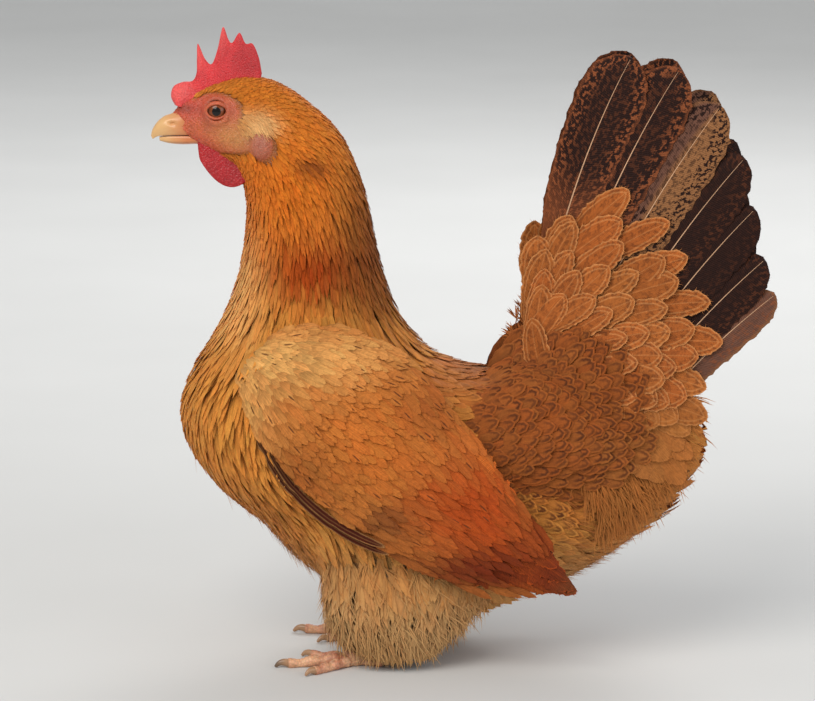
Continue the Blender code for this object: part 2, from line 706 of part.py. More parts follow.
def tail_plate(surface, side):
    """The flesh and hidden quills that the main feathers come out of."""
    roots = [np.array(row[0:2]) for row in MAIN_TAIL]
    tips = [np.array(row[2:4]) for row in MAIN_TAIL]
    start, end = TAIL_PLATE["ends"]
    deep, shallow = TAIL_PLATE["under"]
    grid, inner = [], []
    for share in (0.0, 0.35, 0.7, 1.0):
        reach = start + (end - start) * share
        grid.append([root + (tip - root) * reach for root, tip in zip(roots, tips)])
        inner.append([deep + (shallow - deep) * share] * len(roots))
    outer = [[TAIL_PLATE["top"]] * len(roots)] * len(grid)
    return slab("plate", surface, grid, outer, inner, side, "plumage_tail")


def in_fan(angle, reach):
    turn = math.radians(angle)
    return np.array(COVERT_FAN) + reach * np.array((math.cos(turn), math.sin(turn)))


def covert_plate(surface, side, plate):
    """The part of the rump that one tier of coverts comes out of.

    It rises from the body like a ramp, also at its sides, and is cut off square at its outer end.
    """
    shares = (0.0, 0.5, 1.0)
    reaches = np.interp(shares, (0.0, 1.0), plate["ends"])
    grid = [[in_fan(angle, reach) for angle in COVERT_PLATE_ANGLES] for reach in reaches]
    last = len(COVERT_PLATE_ANGLES) - 1
    outer = [
        [plate["top"] * min(share * 2, 1.0) * (0.2 if j in (0, last) else 1.0) for j in range(last + 1)]
        for share in shares
    ]
    inner = [[plate["under"] - 1.0] * (last + 1)] * len(shares)
    return slab("plate", surface, grid, outer, inner, side, "plumage_tail")


def tail_root():
    """The mound over the tail bone that both sides of the tail grow from."""
    return ellipsoid("mound", TAIL_MOUND["centre"], TAIL_MOUND["size"], "plumage_tail", 6, 10)


def make_tail(name, side, surface):
    """One side of the tail: a fan of main feathers, with three tiers of coverts over their roots."""
    pieces = [tail_root(), tail_plate(surface, side)]
    for x, z, tip_x, tip_z, width in MAIN_TAIL:
        route = bent((x, z), (tip_x, tip_z), MAIN_TAIL_BEND, LONG)
        form = dict(MAIN_TAIL_FORM, width=width)
        pieces.append(vane(surface, side, route, LONG, form, 1.0, "plumage_tail"))
    for tier in TAIL_COVERTS:
        pieces.append(covert_plate(surface, side, tier["plate"]))
        for angle, reach in zip(tier["angles"], tier["reach"]):
            route = bent(in_fan(angle, tier["root"]), in_fan(angle, reach), MAIN_TAIL_BEND, SHORT)
            pieces.append(vane(surface, side, route, SHORT, tier, 1.0, "plumage_tail"))
    tail = union(name, pieces, "MANIFOLD")
    low_y, high_y = sorted((-side * HALF_SPACE["y"], side * GAP / 2))
    (low_x, high_x), (low_z, high_z) = HALF_SPACE["x"], HALF_SPACE["z"]
    other_side = box("other_side", (low_x, low_y, low_z), (high_x, high_y, high_z))
    return combine(tail, [other_side], "DIFFERENCE", "MANIFOLD")


def make_thigh(name, side, back):
    rings = []
    for z, x, long, wide in [along(THIGH, t) for t in np.linspace(0, len(THIGH) - 1, THIGH_STEPS)]:
        rings.append([
            np.array((
                x + back + long * math.cos(2 * math.pi * k / THIGH_SIDES),
                side * LEG_Y + wide * math.sin(2 * math.pi * k / THIGH_SIDES),
                max(z, 0.0),
            ))
            for k in range(THIGH_SIDES)
        ])
    return solid(name, *loft(rings), "fluff")


def tube(name, route, radii, sides, finish):
    """A round bar along a route in millimetres, with a radius for each point of the route."""
    turns = [2 * math.pi * (k + 0.5) / sides for k in range(sides)]
    rings = []
    for i, (point, radius) in enumerate(zip(route, radii)):
        ahead = route[min(i + 1, len(route) - 1)] - route[max(i - 1, 0)]
        ahead /= np.linalg.norm(ahead)
        side = np.cross(ahead, (0.0, 0.0, 1.0))
        side /= np.linalg.norm(side)
        up = np.cross(side, ahead)
        rings.append([point + radius * (side * math.cos(turn) + up * math.sin(turn)) for turn in turns])
    return solid(name, *loft(rings), finish)


def ankle_point(side, back):
    return np.array((ANKLE[0] + back, side * LEG_Y, ANKLE[1]))


def make_shank(name, side, back):
    top = np.array((HOCK[0] + back, side * LEG_Y, HOCK[1]))
    low = ankle_point(side, back)
    route = [top + (low - top) * share for share in (0.0, 0.33, 0.66, 1.0)]
    return tube(name, route, (HOCK_RADIUS, SHANK_RADIUS, SHANK_RADIUS * 0.95, SHANK_RADIUS), 10, "foot_skin")


def toe_line(toe, side, back):
    """Start, direction and end of a toe on the floor."""
    turn, length, _, radius = TOES[toe]
    ahead = np.array((-math.cos(math.radians(turn)), side * math.sin(math.radians(turn)), 0.0))
    start = ankle_point(side, back)
    start[2] = radius
    return start, ahead, start + ahead * length


def make_foot(name, side, back):
    hub = ankle_point(side, back)
    ball_centre = (hub[0] - FOOT_BALL["back"], hub[1], FOOT_BALL["z"])
    pieces = [ellipsoid(name, ball_centre, FOOT_BALL["size"], "foot_skin", 5, 10)]
    for toe, (_, length, joints, radius) in TOES.items():
        start, ahead, _ = toe_line(toe, side, back)
        route, radii = [], []
        for share in np.linspace(0, 1, joints * 2 + 1):
            pad = 1.0 + TOE_FORM["pads"] * math.cos(2 * math.pi * joints * share)
            thick = radius * (1 - TOE_FORM["taper"] * share) * pad
            point = start + ahead * length * share
            point[2] = thick * TOE_FORM["flat"] + TOE_FORM["arch"] * math.sin(math.pi * share) * (1 - share)
            route.append(point)
            radii.append(thick)
        pieces.append(tube(toe, route, radii, 7, "foot_skin"))
    union(name, pieces)
    return combine(bpy.data.objects[name], [box("floor", *UNDER_FLOOR)], "DIFFERENCE")


def box(name, low, high):
    corners = [(x, y, z) for x in (low[0], high[0]) for y in (low[1], high[1]) for z in (low[2], high[2])]
    faces = [(0, 1, 3, 2), (4, 6, 7, 5), (0, 4, 5, 1), (2, 3, 7, 6), (0, 2, 6, 4), (1, 5, 7, 3)]
    return solid(name, corners, faces, "foot_skin")


def make_claw(name, toe, side, back):
    """A bar that thins to its end and bends down to the floor, with its root sunk in the toe."""
    _, ahead, end = toe_line(toe, side, back)
    form = CLAW_FORM
    root = TOES[toe][3] * form["root"]
    start_z = root * 0.9
    route, radii = [], []
    for share in np.linspace(0, 1, 5):
        gone = math.sin(share * form["bend"]) / math.sin(form["bend"])
        point = end + ahead * ((CLAW_LENGTH[toe] + form["sunk"]) * gone - form["sunk"])
        rise = form["rise"] * math.sin(math.pi * min(share * 1.2, 1.0))
        point[2] = start_z + rise - (start_z - form["end_z"]) * share**2
        route.append(point)
        radii.append(root * (1 - share) ** 0.7 + form["end"])
    return tube(name, route, radii, 6, "claw_horn")


def centre_on_origin():
    """Moves everything along X so that the middle of its length is at x = 0."""
    lows, highs = [], []
    for obj in bpy.data.objects:
        xs = [v.co.x for v in obj.data.vertices]
        lows.append(min(xs))
        highs.append(max(xs))
    shift = -(min(lows) + max(highs)) / 2
    for obj in bpy.data.objects:
        for vertex in obj.data.vertices:
            vertex.co.x += shift


def shade():
    for obj in bpy.data.objects:
        obj.data.shade_smooth()
        obj.data.set_sharp_from_angle(angle=math.radians(40))


def main():
    clear_scene()
    tip = (BODY_TIP[0], 0.0, BODY_TIP[1])
    torso = body_length("torso", past_gap(NECK_END), BODY_END, 22, "plumage_gold", tip)
    neck = body_length("neck", past_gap(HEAD_END), NECK_END, 9, "plumage_gold")
    plain_head = body_length("plain_head", 0.0, HEAD_END, 11, "plumage_gold")
    make_head()
    reach = side_view_reach(torso)
    wing_side, tail_side = wing_surface(reach), tail_surface(reach)
    bill_upper = make_bill("bill_upper", BILL_TOP, 8, -1)
    bill_lower = make_bill("bill_lower", BILL_LOW, 6, 1)
    cut_clear(bill_upper, plain_head)
    cut_clear(bill_lower, plain_head)
    cut_clear(make_comb(), plain_head, bill_upper)
    bore_nostrils(bill_upper)
    for label, side in SIDES.items():
        make_eye("eye_" + label, side)
        cut_clear(make_wattle("wattle_" + label, side), plain_head, bill_lower, neck)
        cut_clear(make_wing("wing_" + label, side, wing_side), torso, neck, solver="MANIFOLD")
        cut_clear(make_tail("tail_" + label, side, tail_side), torso, solver="MANIFOLD")
        back = FOOT_SET_BACK[label]
        shank = make_shank("shank_" + label, side, back)
        foot = make_foot("foot_" + label, side, back)
        cut_clear(shank, foot)
        claws = [cut_clear(make_claw(f"claw_{toe}_{label}", toe, side, back), foot) for toe in TOES]
        cover = wing_pad(wing_side, side, WING_COVER)
        thigh = make_thigh("thigh_" + label, side, back)
        cut_clear(thigh, torso, shank, foot, cover, *claws, solver="MANIFOLD")
        remove(cover)
    remove(plain_head)
    centre_on_origin()
    shade()


main()
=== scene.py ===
"""Looks of a life-size bantam hen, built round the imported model.

The hen faces -X and its right side is +Y. Lengths are in millimetres in the frame of the part's own tables;
put_mesh() adds OFFSET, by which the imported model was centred, and turns them into metres. Every feather is a
closed thin mesh grown along a smooth surface, and its colours are point layers that the materials read.
Turns are in radians and angles in degrees, and a side is -1 for the left and 1 for the right.
"""
import math

import bpy
import numpy as np
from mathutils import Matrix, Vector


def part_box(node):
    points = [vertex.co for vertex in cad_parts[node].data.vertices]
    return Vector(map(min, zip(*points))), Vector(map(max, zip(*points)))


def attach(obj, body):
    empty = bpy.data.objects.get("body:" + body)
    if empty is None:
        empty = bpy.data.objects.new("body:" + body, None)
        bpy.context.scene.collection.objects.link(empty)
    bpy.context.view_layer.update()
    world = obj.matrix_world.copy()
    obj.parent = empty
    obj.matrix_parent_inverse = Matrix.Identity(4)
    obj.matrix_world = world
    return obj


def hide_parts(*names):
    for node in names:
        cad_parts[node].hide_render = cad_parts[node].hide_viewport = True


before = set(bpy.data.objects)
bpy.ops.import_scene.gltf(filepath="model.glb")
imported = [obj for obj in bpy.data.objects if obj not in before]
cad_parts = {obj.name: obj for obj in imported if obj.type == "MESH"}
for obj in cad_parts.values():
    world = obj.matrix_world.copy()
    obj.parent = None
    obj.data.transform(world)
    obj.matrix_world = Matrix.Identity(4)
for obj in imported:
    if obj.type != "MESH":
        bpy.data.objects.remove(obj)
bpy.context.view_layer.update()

MM = 0.001
SIDES = {"left": -1.0, "right": 1.0}
TURN = 2 * math.pi
# The lowest that a feather may hang over the floor.
CLEARANCE = 0.4

# Slices of the body: back line x, z, underside line x, z, and half the width, as in the part's source.
BODY = np.array([
    (-140.0, 264.3, -129.0, 250.0, 6.0),
    (-134.0, 271.0, -123.5, 246.0, 8.6),
    (-122.0, 277.5, -117.0, 243.0, 11.6),
    (-107.0, 281.5, -110.0, 238.5, 14.0),
    (-93.0, 280.0, -106.5, 231.0, 15.6),
    (-78.0, 271.5, -105.0, 221.0, 18.0),
    (-60.0, 254.0, -105.5, 209.0, 21.0),
    (-49.0, 228.0, -107.0, 198.0, 24.0),
    (-42.5, 198.0, -110.5, 182.0, 29.0),
    (-36.0, 176.0, -119.0, 162.0, 34.0),
    (-28.0, 161.0, -132.0, 140.0, 40.0),
    (-19.0, 151.0, -137.5, 122.0, 45.0),
    (-8.0, 145.5, -133.5, 103.0, 48.0),
    (3.0, 142.0, -119.0, 83.0, 50.0),
    (14.0, 141.0, -99.0, 66.0, 50.0),
    (25.0, 142.5, -76.0, 43.0, 49.0),
    (36.0, 145.0, -45.0, 26.0, 47.0),
    (48.0, 147.0, -12.0, 22.0, 44.0),
    (62.0, 147.0, 25.0, 29.0, 40.0),
    (78.0, 143.0, 59.0, 44.0, 35.0),
    (94.0, 135.0, 87.0, 65.0, 28.0),
    (105.0, 123.0, 103.0, 87.0, 17.0),
    (110.5, 109.0, 110.0, 103.5, 2.0),
])
# Places along the body are counted in slices: where the head, the neck, its longest feathers, the breast end.
BODY_END = len(BODY) - 1.0
HEAD_END = 5.0
NECK_END = 9.0
CAPE_END = NECK_END + 0.6
BREAST_END = 15.0
# How much wider a slice is in its lower half, and how far from the back line its back feathers reach.
SAG = 0.10
BACK_TURN = 1.45

EYE = np.array((-118.2, 8.3, 266.8))
EYE_RADIUS = 5.2
# Where the pupil and the iris end, in degrees from the eye's outer pole.
PUPIL = 24
IRIS = 46
EAR_LOBE = np.array((-97.8, 251.5))

# The folded wing: its line from the shoulder to the tip, its length, and its reach up and down from the line.
WING_AXIS = ((-104.0, 154.0), (52.0, 42.0))
WING_LENGTH = 192.0
WING_AT = (0.0, 0.05, 0.15, 0.27, 0.40, 0.52, 0.64, 0.76, 0.87, 0.95, 1.0)
WING_UP = (9.0, 26.0, 37.0, 42.5, 39.5, 34.0, 27.0, 19.5, 11.5, 5.5, 1.6)
WING_DOWN = (9.0, 16.0, 31.0, 38.0, 40.0, 36.5, 34.0, 28.5, 19.5, 10.5, 1.6)
# Half the width of the hen over the wings at places x: the widest, the height of that, and the rise above it.
WING_X = (-115.0, -95.0, -60.0, -20.0, 15.0, 45.0, 65.0)
WING_HALF = (37.0, 43.0, 48.5, 52.5, 53.0, 49.5, 46.0)
WING_MID_Z = (120.0, 112.0, 102.0, 95.0, 84.0, 69.0, 59.0)
WING_RISE = (74.0, 80.0, 84.0, 66.0, 60.0, 58.0, 58.0)

# Main tail feathers, the front one first, in side view: root x, z, tip x, z, and full width.
MAIN_TAIL = np.array([
    (26.5, 152.0, 77.0, 291.5, 35.0),
    (36.0, 149.0, 99.0, 287.0, 34.0),
    (46.0, 143.0, 118.0, 271.0, 34.0),
    (55.0, 136.0, 129.5, 247.0, 31.0),
    (63.0, 128.0, 135.0, 223.0, 29.0),
    (70.0, 119.0, 140.0, 199.0, 27.0),
    (74.0, 109.0, 145.0, 182.5, 20.0),
])
# The tail's two sides meet in a ridge, open to their edges over a reach, and stand off round their base.
TAIL_RIDGE = ((24.0, 150.0), (66.0, 292.0))
TAIL_OPEN = {"ridge": 5.5, "edge": 30.0, "reach": 120.0, "base": 14.0, "x": 62.0, "z": 136.0, "spread": 38.0}
COVERT_FAN = np.array((42.0, 128.0))

LEG_Y = 25.0
FOOT_SET_BACK = {"left": 0.0, "right": 7.0}
# Feathered thigh, from the top down: height, centre x, half length, half width.
THIGH = np.array([
    (60.0, -28.0, 42.0, 22.0),
    (40.0, -28.5, 40.5, 21.0),
    (24.0, -33.0, 35.0, 20.0),
    (13.0, -35.0, 27.0, 17.0),
    (6.0, -33.5, 18.0, 13.0),
    (2.5, -31.0, 10.0, 8.0),
])
HOCK = (-34.0, 20.0)
ANKLE = (-53.0, 8.0)
SHANK_RADIUS = 4.4
# Length of one scute of a toe.
SCUTE = 1.9
# Toes: turn from straight ahead in degrees, length, joints, radius at the root, length of the claw.
TOES = {
    "middle": (8.0, 33.0, 3, 3.1, 6.6),
    "inner": (-27.0, 24.0, 2, 2.8, 6.2),
    "outer": (40.0, 26.0, 4, 2.8, 5.6),
    "hind": (166.0, 13.0, 1, 2.5, 5.0),
}

eye_low, eye_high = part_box("eye_left")
OFFSET = np.array(((eye_low.x + eye_high.x) / 2 / MM - EYE[0], 0.0, 0.0))


def srgb(red, green, blue):
    """A colour as the eye reads it, 0 to 255, turned into linear light."""
    share = np.array((red, green, blue)) / 255.0
    return np.where(share <= 0.04045, share / 12.92, ((share + 0.055) / 1.055) ** 2.4)


# Colours of the hen as the eye reads them.
PAINTS = {
    "crown": (192, 108, 30),
    "hackle": (206, 108, 26),
    "hackle_deep": (160, 62, 6),
    "hackle_brown": (134, 68, 20),
    "neck_buff": (236, 172, 100),
    "breast": (212, 136, 56),
    "breast_deep": (192, 118, 50),
    "back": (170, 98, 48),
    "saddle": (148, 78, 30),
    "rear": (172, 106, 50),
    "rear_pale": (182, 130, 76),
    "fluff": (190, 142, 88),
    "fluff_pale": (196, 152, 102),
    "bow": (184, 110, 48),
    "bow_pale": (226, 166, 94),
    "wing_orange": (200, 110, 40),
    "wing_rust": (174, 68, 16),
    "wing_deep": (106, 34, 8),
    "wing_brown": (150, 84, 34),
    "wing_dark": (92, 48, 24),
    "covert": (164, 90, 38),
    "lace": (220, 152, 92),
    "dark": (92, 46, 20),
    "tail_dark": (36, 15, 9),
    "tail_rust": (132, 72, 40),
    "tail_mauve": (100, 66, 52),
    "tail_pale": (140, 94, 58),
    "quill": (222, 174, 134),
    "face": (202, 98, 62),
    "face_red": (210, 72, 58),
    "cheek": (200, 134, 74),
    "ear_cream": (234, 184, 122),
    "lobe": (172, 98, 74),
    "eye_ring": (140, 62, 46),
    "comb_coral": (236, 92, 88),
    "comb_red": (214, 44, 50),
    "comb_deep": (172, 22, 30),
    "wattle_red": (172, 8, 14),
    "pupil": (10, 6, 5),
    "iris": (128, 62, 24),
    "eye_rim": (50, 20, 12),
    "bill_base": (200, 118, 70),
    "bill_tip": (220, 174, 116),
    "foot_pale": (232, 178, 138),
    "foot_deep": (190, 120, 92),
    "claw_base": (170, 130, 96),
    "claw_tip": (104, 84, 66),
}
COLOURS = {name: srgb(*paint) for name, paint in PAINTS.items()}


def opaque(colour):
    """A colour with the fourth value that a shader's socket takes."""
    return (*colour, 1.0)


def along(rows, place):
    """The smooth value between the rows of a table at each place, by a Catmull-Rom curve."""
    last = len(rows) - 1
    place = np.clip(np.asarray(place, float), 0.0, last)
    i = np.minimum(place.astype(int), last - 1)
    f = (place - i)[..., None]
    a, b, c, d = (rows[np.clip(i + k, 0, last)] for k in (-1, 0, 1, 2))
    square, cube = 2 * a - 5 * b + 4 * c - d, 3 * b - a - 3 * c + d
    return 0.5 * (2 * b + (c - a) * f + square * f**2 + cube * f**3)


def ease(value, low, high):
    """0 below low, 1 above high and a smooth step between."""
    share = np.clip((np.asarray(value, float) - low) / (high - low), 0.0, 1.0)
    return share * share * (3 - 2 * share)


def unit(vectors):
    """Vectors of the same directions and length 1."""
    return vectors / np.maximum(np.linalg.norm(vectors, axis=-1, keepdims=True), 1e-9)


def dot(a, b):
    """Sum of the products of the parts of two vectors, kept as a last axis of one."""
    return np.sum(a * b, axis=-1, keepdims=True)


class Surface:
    """A smooth surface: place(p, q) gives a point, and side is -1 where p and q run the other way round."""

    def __init__(self, place, steps, side=1.0):
        self.place = place
        self.steps = steps
        self.side = side

    def axes(self, p, q):
        """Point, slope along p, slope along q and outward normal, by central differences."""
        dp, dq = self.steps
        along_p = (self.place(p + dp, q) - self.place(p - dp, q)) / (2 * dp)
        along_q = (self.place(p, q + dq) - self.place(p, q - dq)) / (2 * dq)
        return self.place(p, q), along_p, along_q, unit(np.cross(along_p, along_q)) * self.side

    def raised(self, p, q, height):
        """Points at a height above the surface."""
        point, _, _, normal = self.axes(p, q)
        return point + normal * np.asarray(height)[..., None]


def change(along_p, along_q, move):
    """How much p and q change for a small move in the surface: the least-squares answer of two equations."""
    a, b, c = dot(along_p, along_p), dot(along_p, along_q), dot(along_q, along_q)
    e, f = dot(along_p, move), dot(along_q, move)
    spread = np.maximum(a * c - b * b, 1e-9)
    return ((e * c - f * b) / spread)[..., 0], ((f * a - e * b) / spread)[..., 0]


def body_place(t, turn):
    """A point of the body: slice t of the table, turned from the back line, 0, to the underside, half a turn.

    Each slice is an ellipse between its upper and lower point, a little wider in its lower half.
    """
    row = along(BODY, t)
    up, out = np.cos(turn), np.sin(turn)
    x = (row[..., 0] + row[..., 2]) / 2 + (row[..., 0] - row[..., 2]) / 2 * up
    z = (row[..., 1] + row[..., 3]) / 2 + (row[..., 1] - row[..., 3]) / 2 * up
    return np.stack((x, row[..., 4] * out * (1 - SAG * up), z), -1)


BODY_SURFACE = Surface(body_place, (0.02, 0.02))


def body_reach(x, z):
    """Half the width of the torso at places in side view: that of the slice whose line passes there, or 0."""
    rows = along(BODY, np.linspace(NECK_END, BODY_END, 300))
    middle, reach = (rows[:, 0:2] + rows[:, 2:4]) / 2, (rows[:, 0:2] - rows[:, 2:4]) / 2
    size = np.linalg.norm(reach, axis=1)
    off = np.stack((np.ravel(x), np.ravel(z)), -1)[:, None] - middle
    up = (off * reach).sum(-1) / size**2
    miss = np.abs(off[..., 0] * reach[:, 1] - off[..., 1] * reach[:, 0]) / size + 1e3 * (np.abs(up) > 1)
    best = miss.argmin(1)
    up = np.take_along_axis(up, best[:, None], 1)[:, 0]
    half = rows[best, 4] * np.sqrt(np.maximum(1 - up**2, 0)) * (1 - SAG * up)
    return np.where(miss.min(1) < 4.0, half, 0.0).reshape(np.shape(x))


def soft_max(a, b, sharp):
    """The larger of two widths with the step between them rounded: (a^sharp + b^sharp)^(1 / sharp)."""
    return (np.maximum(a, 0.1) ** sharp + np.maximum(b, 0.1) ** sharp) ** (1 / sharp)


class Relief:
    """A half width over the side view, worked out once on a grid, smoothed, and read between its points."""

    STEP = 2.0

    def __init__(self, low, high, half_width):
        self.low = low
        axes = [np.arange(a, b + self.STEP, self.STEP) for a, b in zip(low, high)]
        values = half_width(*grid(*axes))
        for _ in range(3):
            values[1:-1] = (values[:-2] + 2 * values[1:-1] + values[2:]) / 4
            values[:, 1:-1] = (values[:, :-2] + 2 * values[:, 1:-1] + values[:, 2:]) / 4
        self.values = values

    def __call__(self, x, z):
        i, j = (
            np.clip((v - low) / self.STEP, 0, count - 1.001)
            for v, low, count in zip((x, z), self.low, self.values.shape)
        )
        a, b = i.astype(int), j.astype(int)
        f, g, v = i - a, j - b, self.values
        near, far = (v[a, k] * (1 - f) + v[a + 1, k] * f for k in (b, b + 1))
        return near * (1 - g) + far * g


def wing_half(x, z):
    """Widest at mid height, rounding over the back above it and falling almost straight below it."""
    widest, middle, rise = (np.interp(x, WING_X, table) for table in (WING_HALF, WING_MID_Z, WING_RISE))
    above = widest * np.sqrt(1 - np.clip((z - middle) / rise, 0.0, 0.95) ** 2)
    below = widest - 0.0016 * (middle - z) ** 2
    return soft_max(np.where(z > middle, above, below), body_reach(x, z) + 2.0, 10.0)


def wing_spot(share, across):
    """A place in side view: share of the way from the shoulder to the tip, and across from -1 to 1."""
    start, end = np.array(WING_AXIS[0]), np.array(WING_AXIS[1])
    line = (end - start) / np.linalg.norm(end - start)
    half = np.where(across > 0, np.interp(share, WING_AT, WING_UP), np.interp(share, WING_AT, WING_DOWN))
    share, rise = np.asarray(share)[..., None], (half * across)[..., None]
    return start + (end - start) * share + np.array((-line[1], line[0])) * rise


def tail_half(x, z):
    """Two sides that meet in a narrow ridge at the front and open towards the rear and the base."""
    start, end = np.array(TAIL_RIDGE[0]), np.array(TAIL_RIDGE[1])
    line = (end - start) / np.linalg.norm(end - start)
    off = np.maximum((x - start[0]) * line[1] - (z - start[1]) * line[0], 0.0)
    tent = TAIL_OPEN["ridge"] + TAIL_OPEN["edge"] * (off / TAIL_OPEN["reach"]) ** 0.85
    near = np.exp(-((x - TAIL_OPEN["x"]) ** 2 + (z - TAIL_OPEN["z"]) ** 2) / TAIL_OPEN["spread"] ** 2)
    return soft_max(tent + TAIL_OPEN["base"] * near, body_reach(x, z) + 1.5, 8.0)


def beside(relief, side):
    """The surface of a relief on one side of the body, with side-view x and z as its parameters."""

    def place(x, z):
        return np.stack((x, side * relief(x, z), z), -1)

    return Surface(place, (1.5, 1.5), -side)


def put_mesh(name, points, faces, finish, layers=None, replaces=(), crease=None):
    """A piece from whole arrays: points in millimetres, faces of one corner count to an array, point layers.

    The layer OFBake is the map, vane and strand are vectors, and the others colours.
    """
    mesh = bpy.data.meshes.new(name)
    corners = np.concatenate([np.ravel(f) for f in faces]).astype(np.int32)
    counts = np.concatenate([np.full(len(f), np.shape(f)[1]) for f in faces])
    starts = np.concatenate(([0], np.cumsum(counts)[:-1])).astype(np.int32)
    mesh.vertices.add(len(points))
    mesh.vertices.foreach_set("co", ((points + OFFSET) * MM).astype(np.float32).ravel())
    mesh.loops.add(len(corners))
    mesh.loops.foreach_set("vertex_index", corners)
    mesh.polygons.add(len(counts))
    mesh.polygons.foreach_set("loop_start", starts)
    mesh.update(calc_edges=True)
    for label, values in (layers or {}).items():
        values = values.reshape(len(points), -1).astype(np.float32)
        if label == "OFBake":
            mesh.uv_layers.new(name=label).uv.foreach_set("vector", values[corners].ravel())
        elif label in ("vane", "strand"):
            mesh.attributes.new(label, "FLOAT_VECTOR", "POINT").data.foreach_set("vector", values.ravel())
        else:
            values = np.hstack((values, np.ones((len(values), 4 - values.shape[1]), np.float32)))
            mesh.attributes.new(label, "FLOAT_COLOR", "POINT").data.foreach_set("color", values.ravel())
    mesh.shade_smooth()
    if crease:
        mesh.set_sharp_from_angle(angle=math.radians(crease))
    obj = bpy.data.objects.new(name, mesh)
    mesh.materials.append(finish)
    bpy.context.scene.collection.objects.link(obj)
    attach(obj, "root")
    if replaces:
        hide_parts(*replaces)
    return obj


def above(points, least):
    """Points lifted to a least height where they lie lower."""
    return np.maximum(points, (-np.inf, -np.inf, least))


def turns(count):
    """Turns evenly spaced once round."""
    return np.linspace(0, TURN, count, endpoint=False)


def grid(p, q):
    """Two rows of numbers as the arrays of a grid."""
    return np.meshgrid(p, q, indexing="ij")


def grid_faces(rows, columns, closed=True):
    """Quads between the rows of a grid of points, joined round each row if closed."""
    i, j = grid(np.arange(rows - 1), np.arange(columns if closed else columns - 1))
    a, b = i * columns + j, i * columns + (j + 1) % columns
    return np.stack((a, b, b + columns, a + columns), -1).reshape(-1, 4)


def tube_faces(rows, columns):
    """Faces of a closed tube of rows of points: quads between the rows and one face over each end."""
    first = np.arange(columns)[None, ::-1]
    last = (rows - 1) * columns + np.arange(columns)[None]
    return [grid_faces(rows, columns), first, last]


def repeated(faces, count, points_each):
    """The faces of one item for each of count items."""
    shift = (np.arange(count) * points_each)[:, None, None]
    return [(f[None] + shift).reshape(-1, f.shape[1]) for f in faces]


class Kind:
    """The grid that feathers of one kind share.

    Its rows are barbs: a barb leaves the shaft at a share of the length and meets the rim further on, by
    sweep of the length at the root and less and less towards the tip. Its columns run from rim to rim over
    the outer face and back under the feather. Loose barbs can grow from both rims of its last rows, hairs
    of them.
    """

    def __init__(self, rows, columns, under, outline, sweep, even=1.0, hairs=4):
        self.barbs = 1 - (1 - np.linspace(0, 0.985, rows)) ** even
        self.rims = self.barbs + sweep * (1 - self.barbs) ** 0.75 * (1 - 0.15 * self.barbs)
        self.rims = np.minimum(self.rims, self.barbs + (1 - self.barbs) * 0.9)
        self.half = np.interp(self.rims, *outline)
        top, low = np.linspace(-1, 1, columns), np.linspace(1, -1, under + 2)[1:-1]
        self.across = np.concatenate((top, low))
        self.over = np.concatenate((np.ones(columns), np.zeros(under)))
        self.faces = tube_faces(rows, len(self.across))
        self.points = rows * len(self.across)
        self.ends = np.array((0, columns - 1))
        self.haired = np.arange(max(0, rows - hairs), rows)


# Outlines of a feather: shares of its length, and the share of its full width there.
ROUNDED = ((0.0, 0.12, 0.3, 0.55, 0.75, 0.88, 0.96, 1.0), (0.2, 0.5, 0.8, 1.0, 0.94, 0.74, 0.42, 0.06))
HACKLE = ((0.0, 0.15, 0.4, 0.6, 0.8, 0.92, 1.0), (0.25, 0.7, 1.0, 0.92, 0.66, 0.36, 0.04))
SOFT = ((0.0, 0.15, 0.4, 0.62, 0.82, 0.94, 1.0), (0.25, 0.7, 1.0, 0.96, 0.74, 0.42, 0.05))
BROAD = ((0.0, 0.1, 0.3, 0.6, 0.82, 0.92, 0.975, 1.0), (0.25, 0.45, 0.74, 0.96, 1.0, 0.84, 0.5, 0.05))
# Kinds of feather: rows, columns above and below, outline, sweep, crowding to the tip, rows with loose barbs.
TINY = Kind(5, 3, 1, HACKLE, 0.20, 1.1, 3)
STRAND = Kind(6, 3, 1, HACKLE, 0.14, 1.1, 3)
FLUFF = Kind(4, 3, 1, HACKLE, 0.30, 1.0, 4)
SMALL = Kind(6, 5, 1, ROUNDED, 0.20, 1.25)
LONG = Kind(7, 5, 1, HACKLE, 0.14, 1.1)
FAIR = Kind(8, 5, 1, SOFT, 0.20, 1.15, 6)
MIDDLE = Kind(24, 7, 1, ROUNDED, 0.22, 1.3, 24)
LARGE = Kind(52, 11, 3, BROAD, 0.10, 1.25, 52)


class Coat:
    """Collects the feathers of one piece, to be joined in one mesh.

    Its layers are what the finishes read. ground, lace and mark are colours, mark with a strength. vane is
    the way from shaft, tip and rim, strand the way along and across and a seed, OFBake the place in the map.
    """

    def __init__(self):
        self.count = 0
        self.points, self.faces = [], []
        self.layers = {label: [] for label in ("ground", "lace", "mark", "vane", "strand", "OFBake")}

    def add(self, points, faces, **layers):
        """Takes in a batch: points, faces counted from 0, and the layers' values at the points."""
        self.points.append(points.reshape(-1, 3))
        self.faces += [f + self.count for f in faces]
        self.count += len(self.points[-1])
        for label, values in layers.items():
            self.layers[label].append(values.reshape(len(self.points[-1]), -1))

    def make(self, name, finish, replaces=()):
        layers = {label: np.concatenate(values) for label, values in self.layers.items()}
        put_mesh(name, np.concatenate(self.points), self.faces, finish, layers, replaces, crease=70)


# How wide the patch of one small feather or blade is in the map of its piece.
PATCH = 0.003


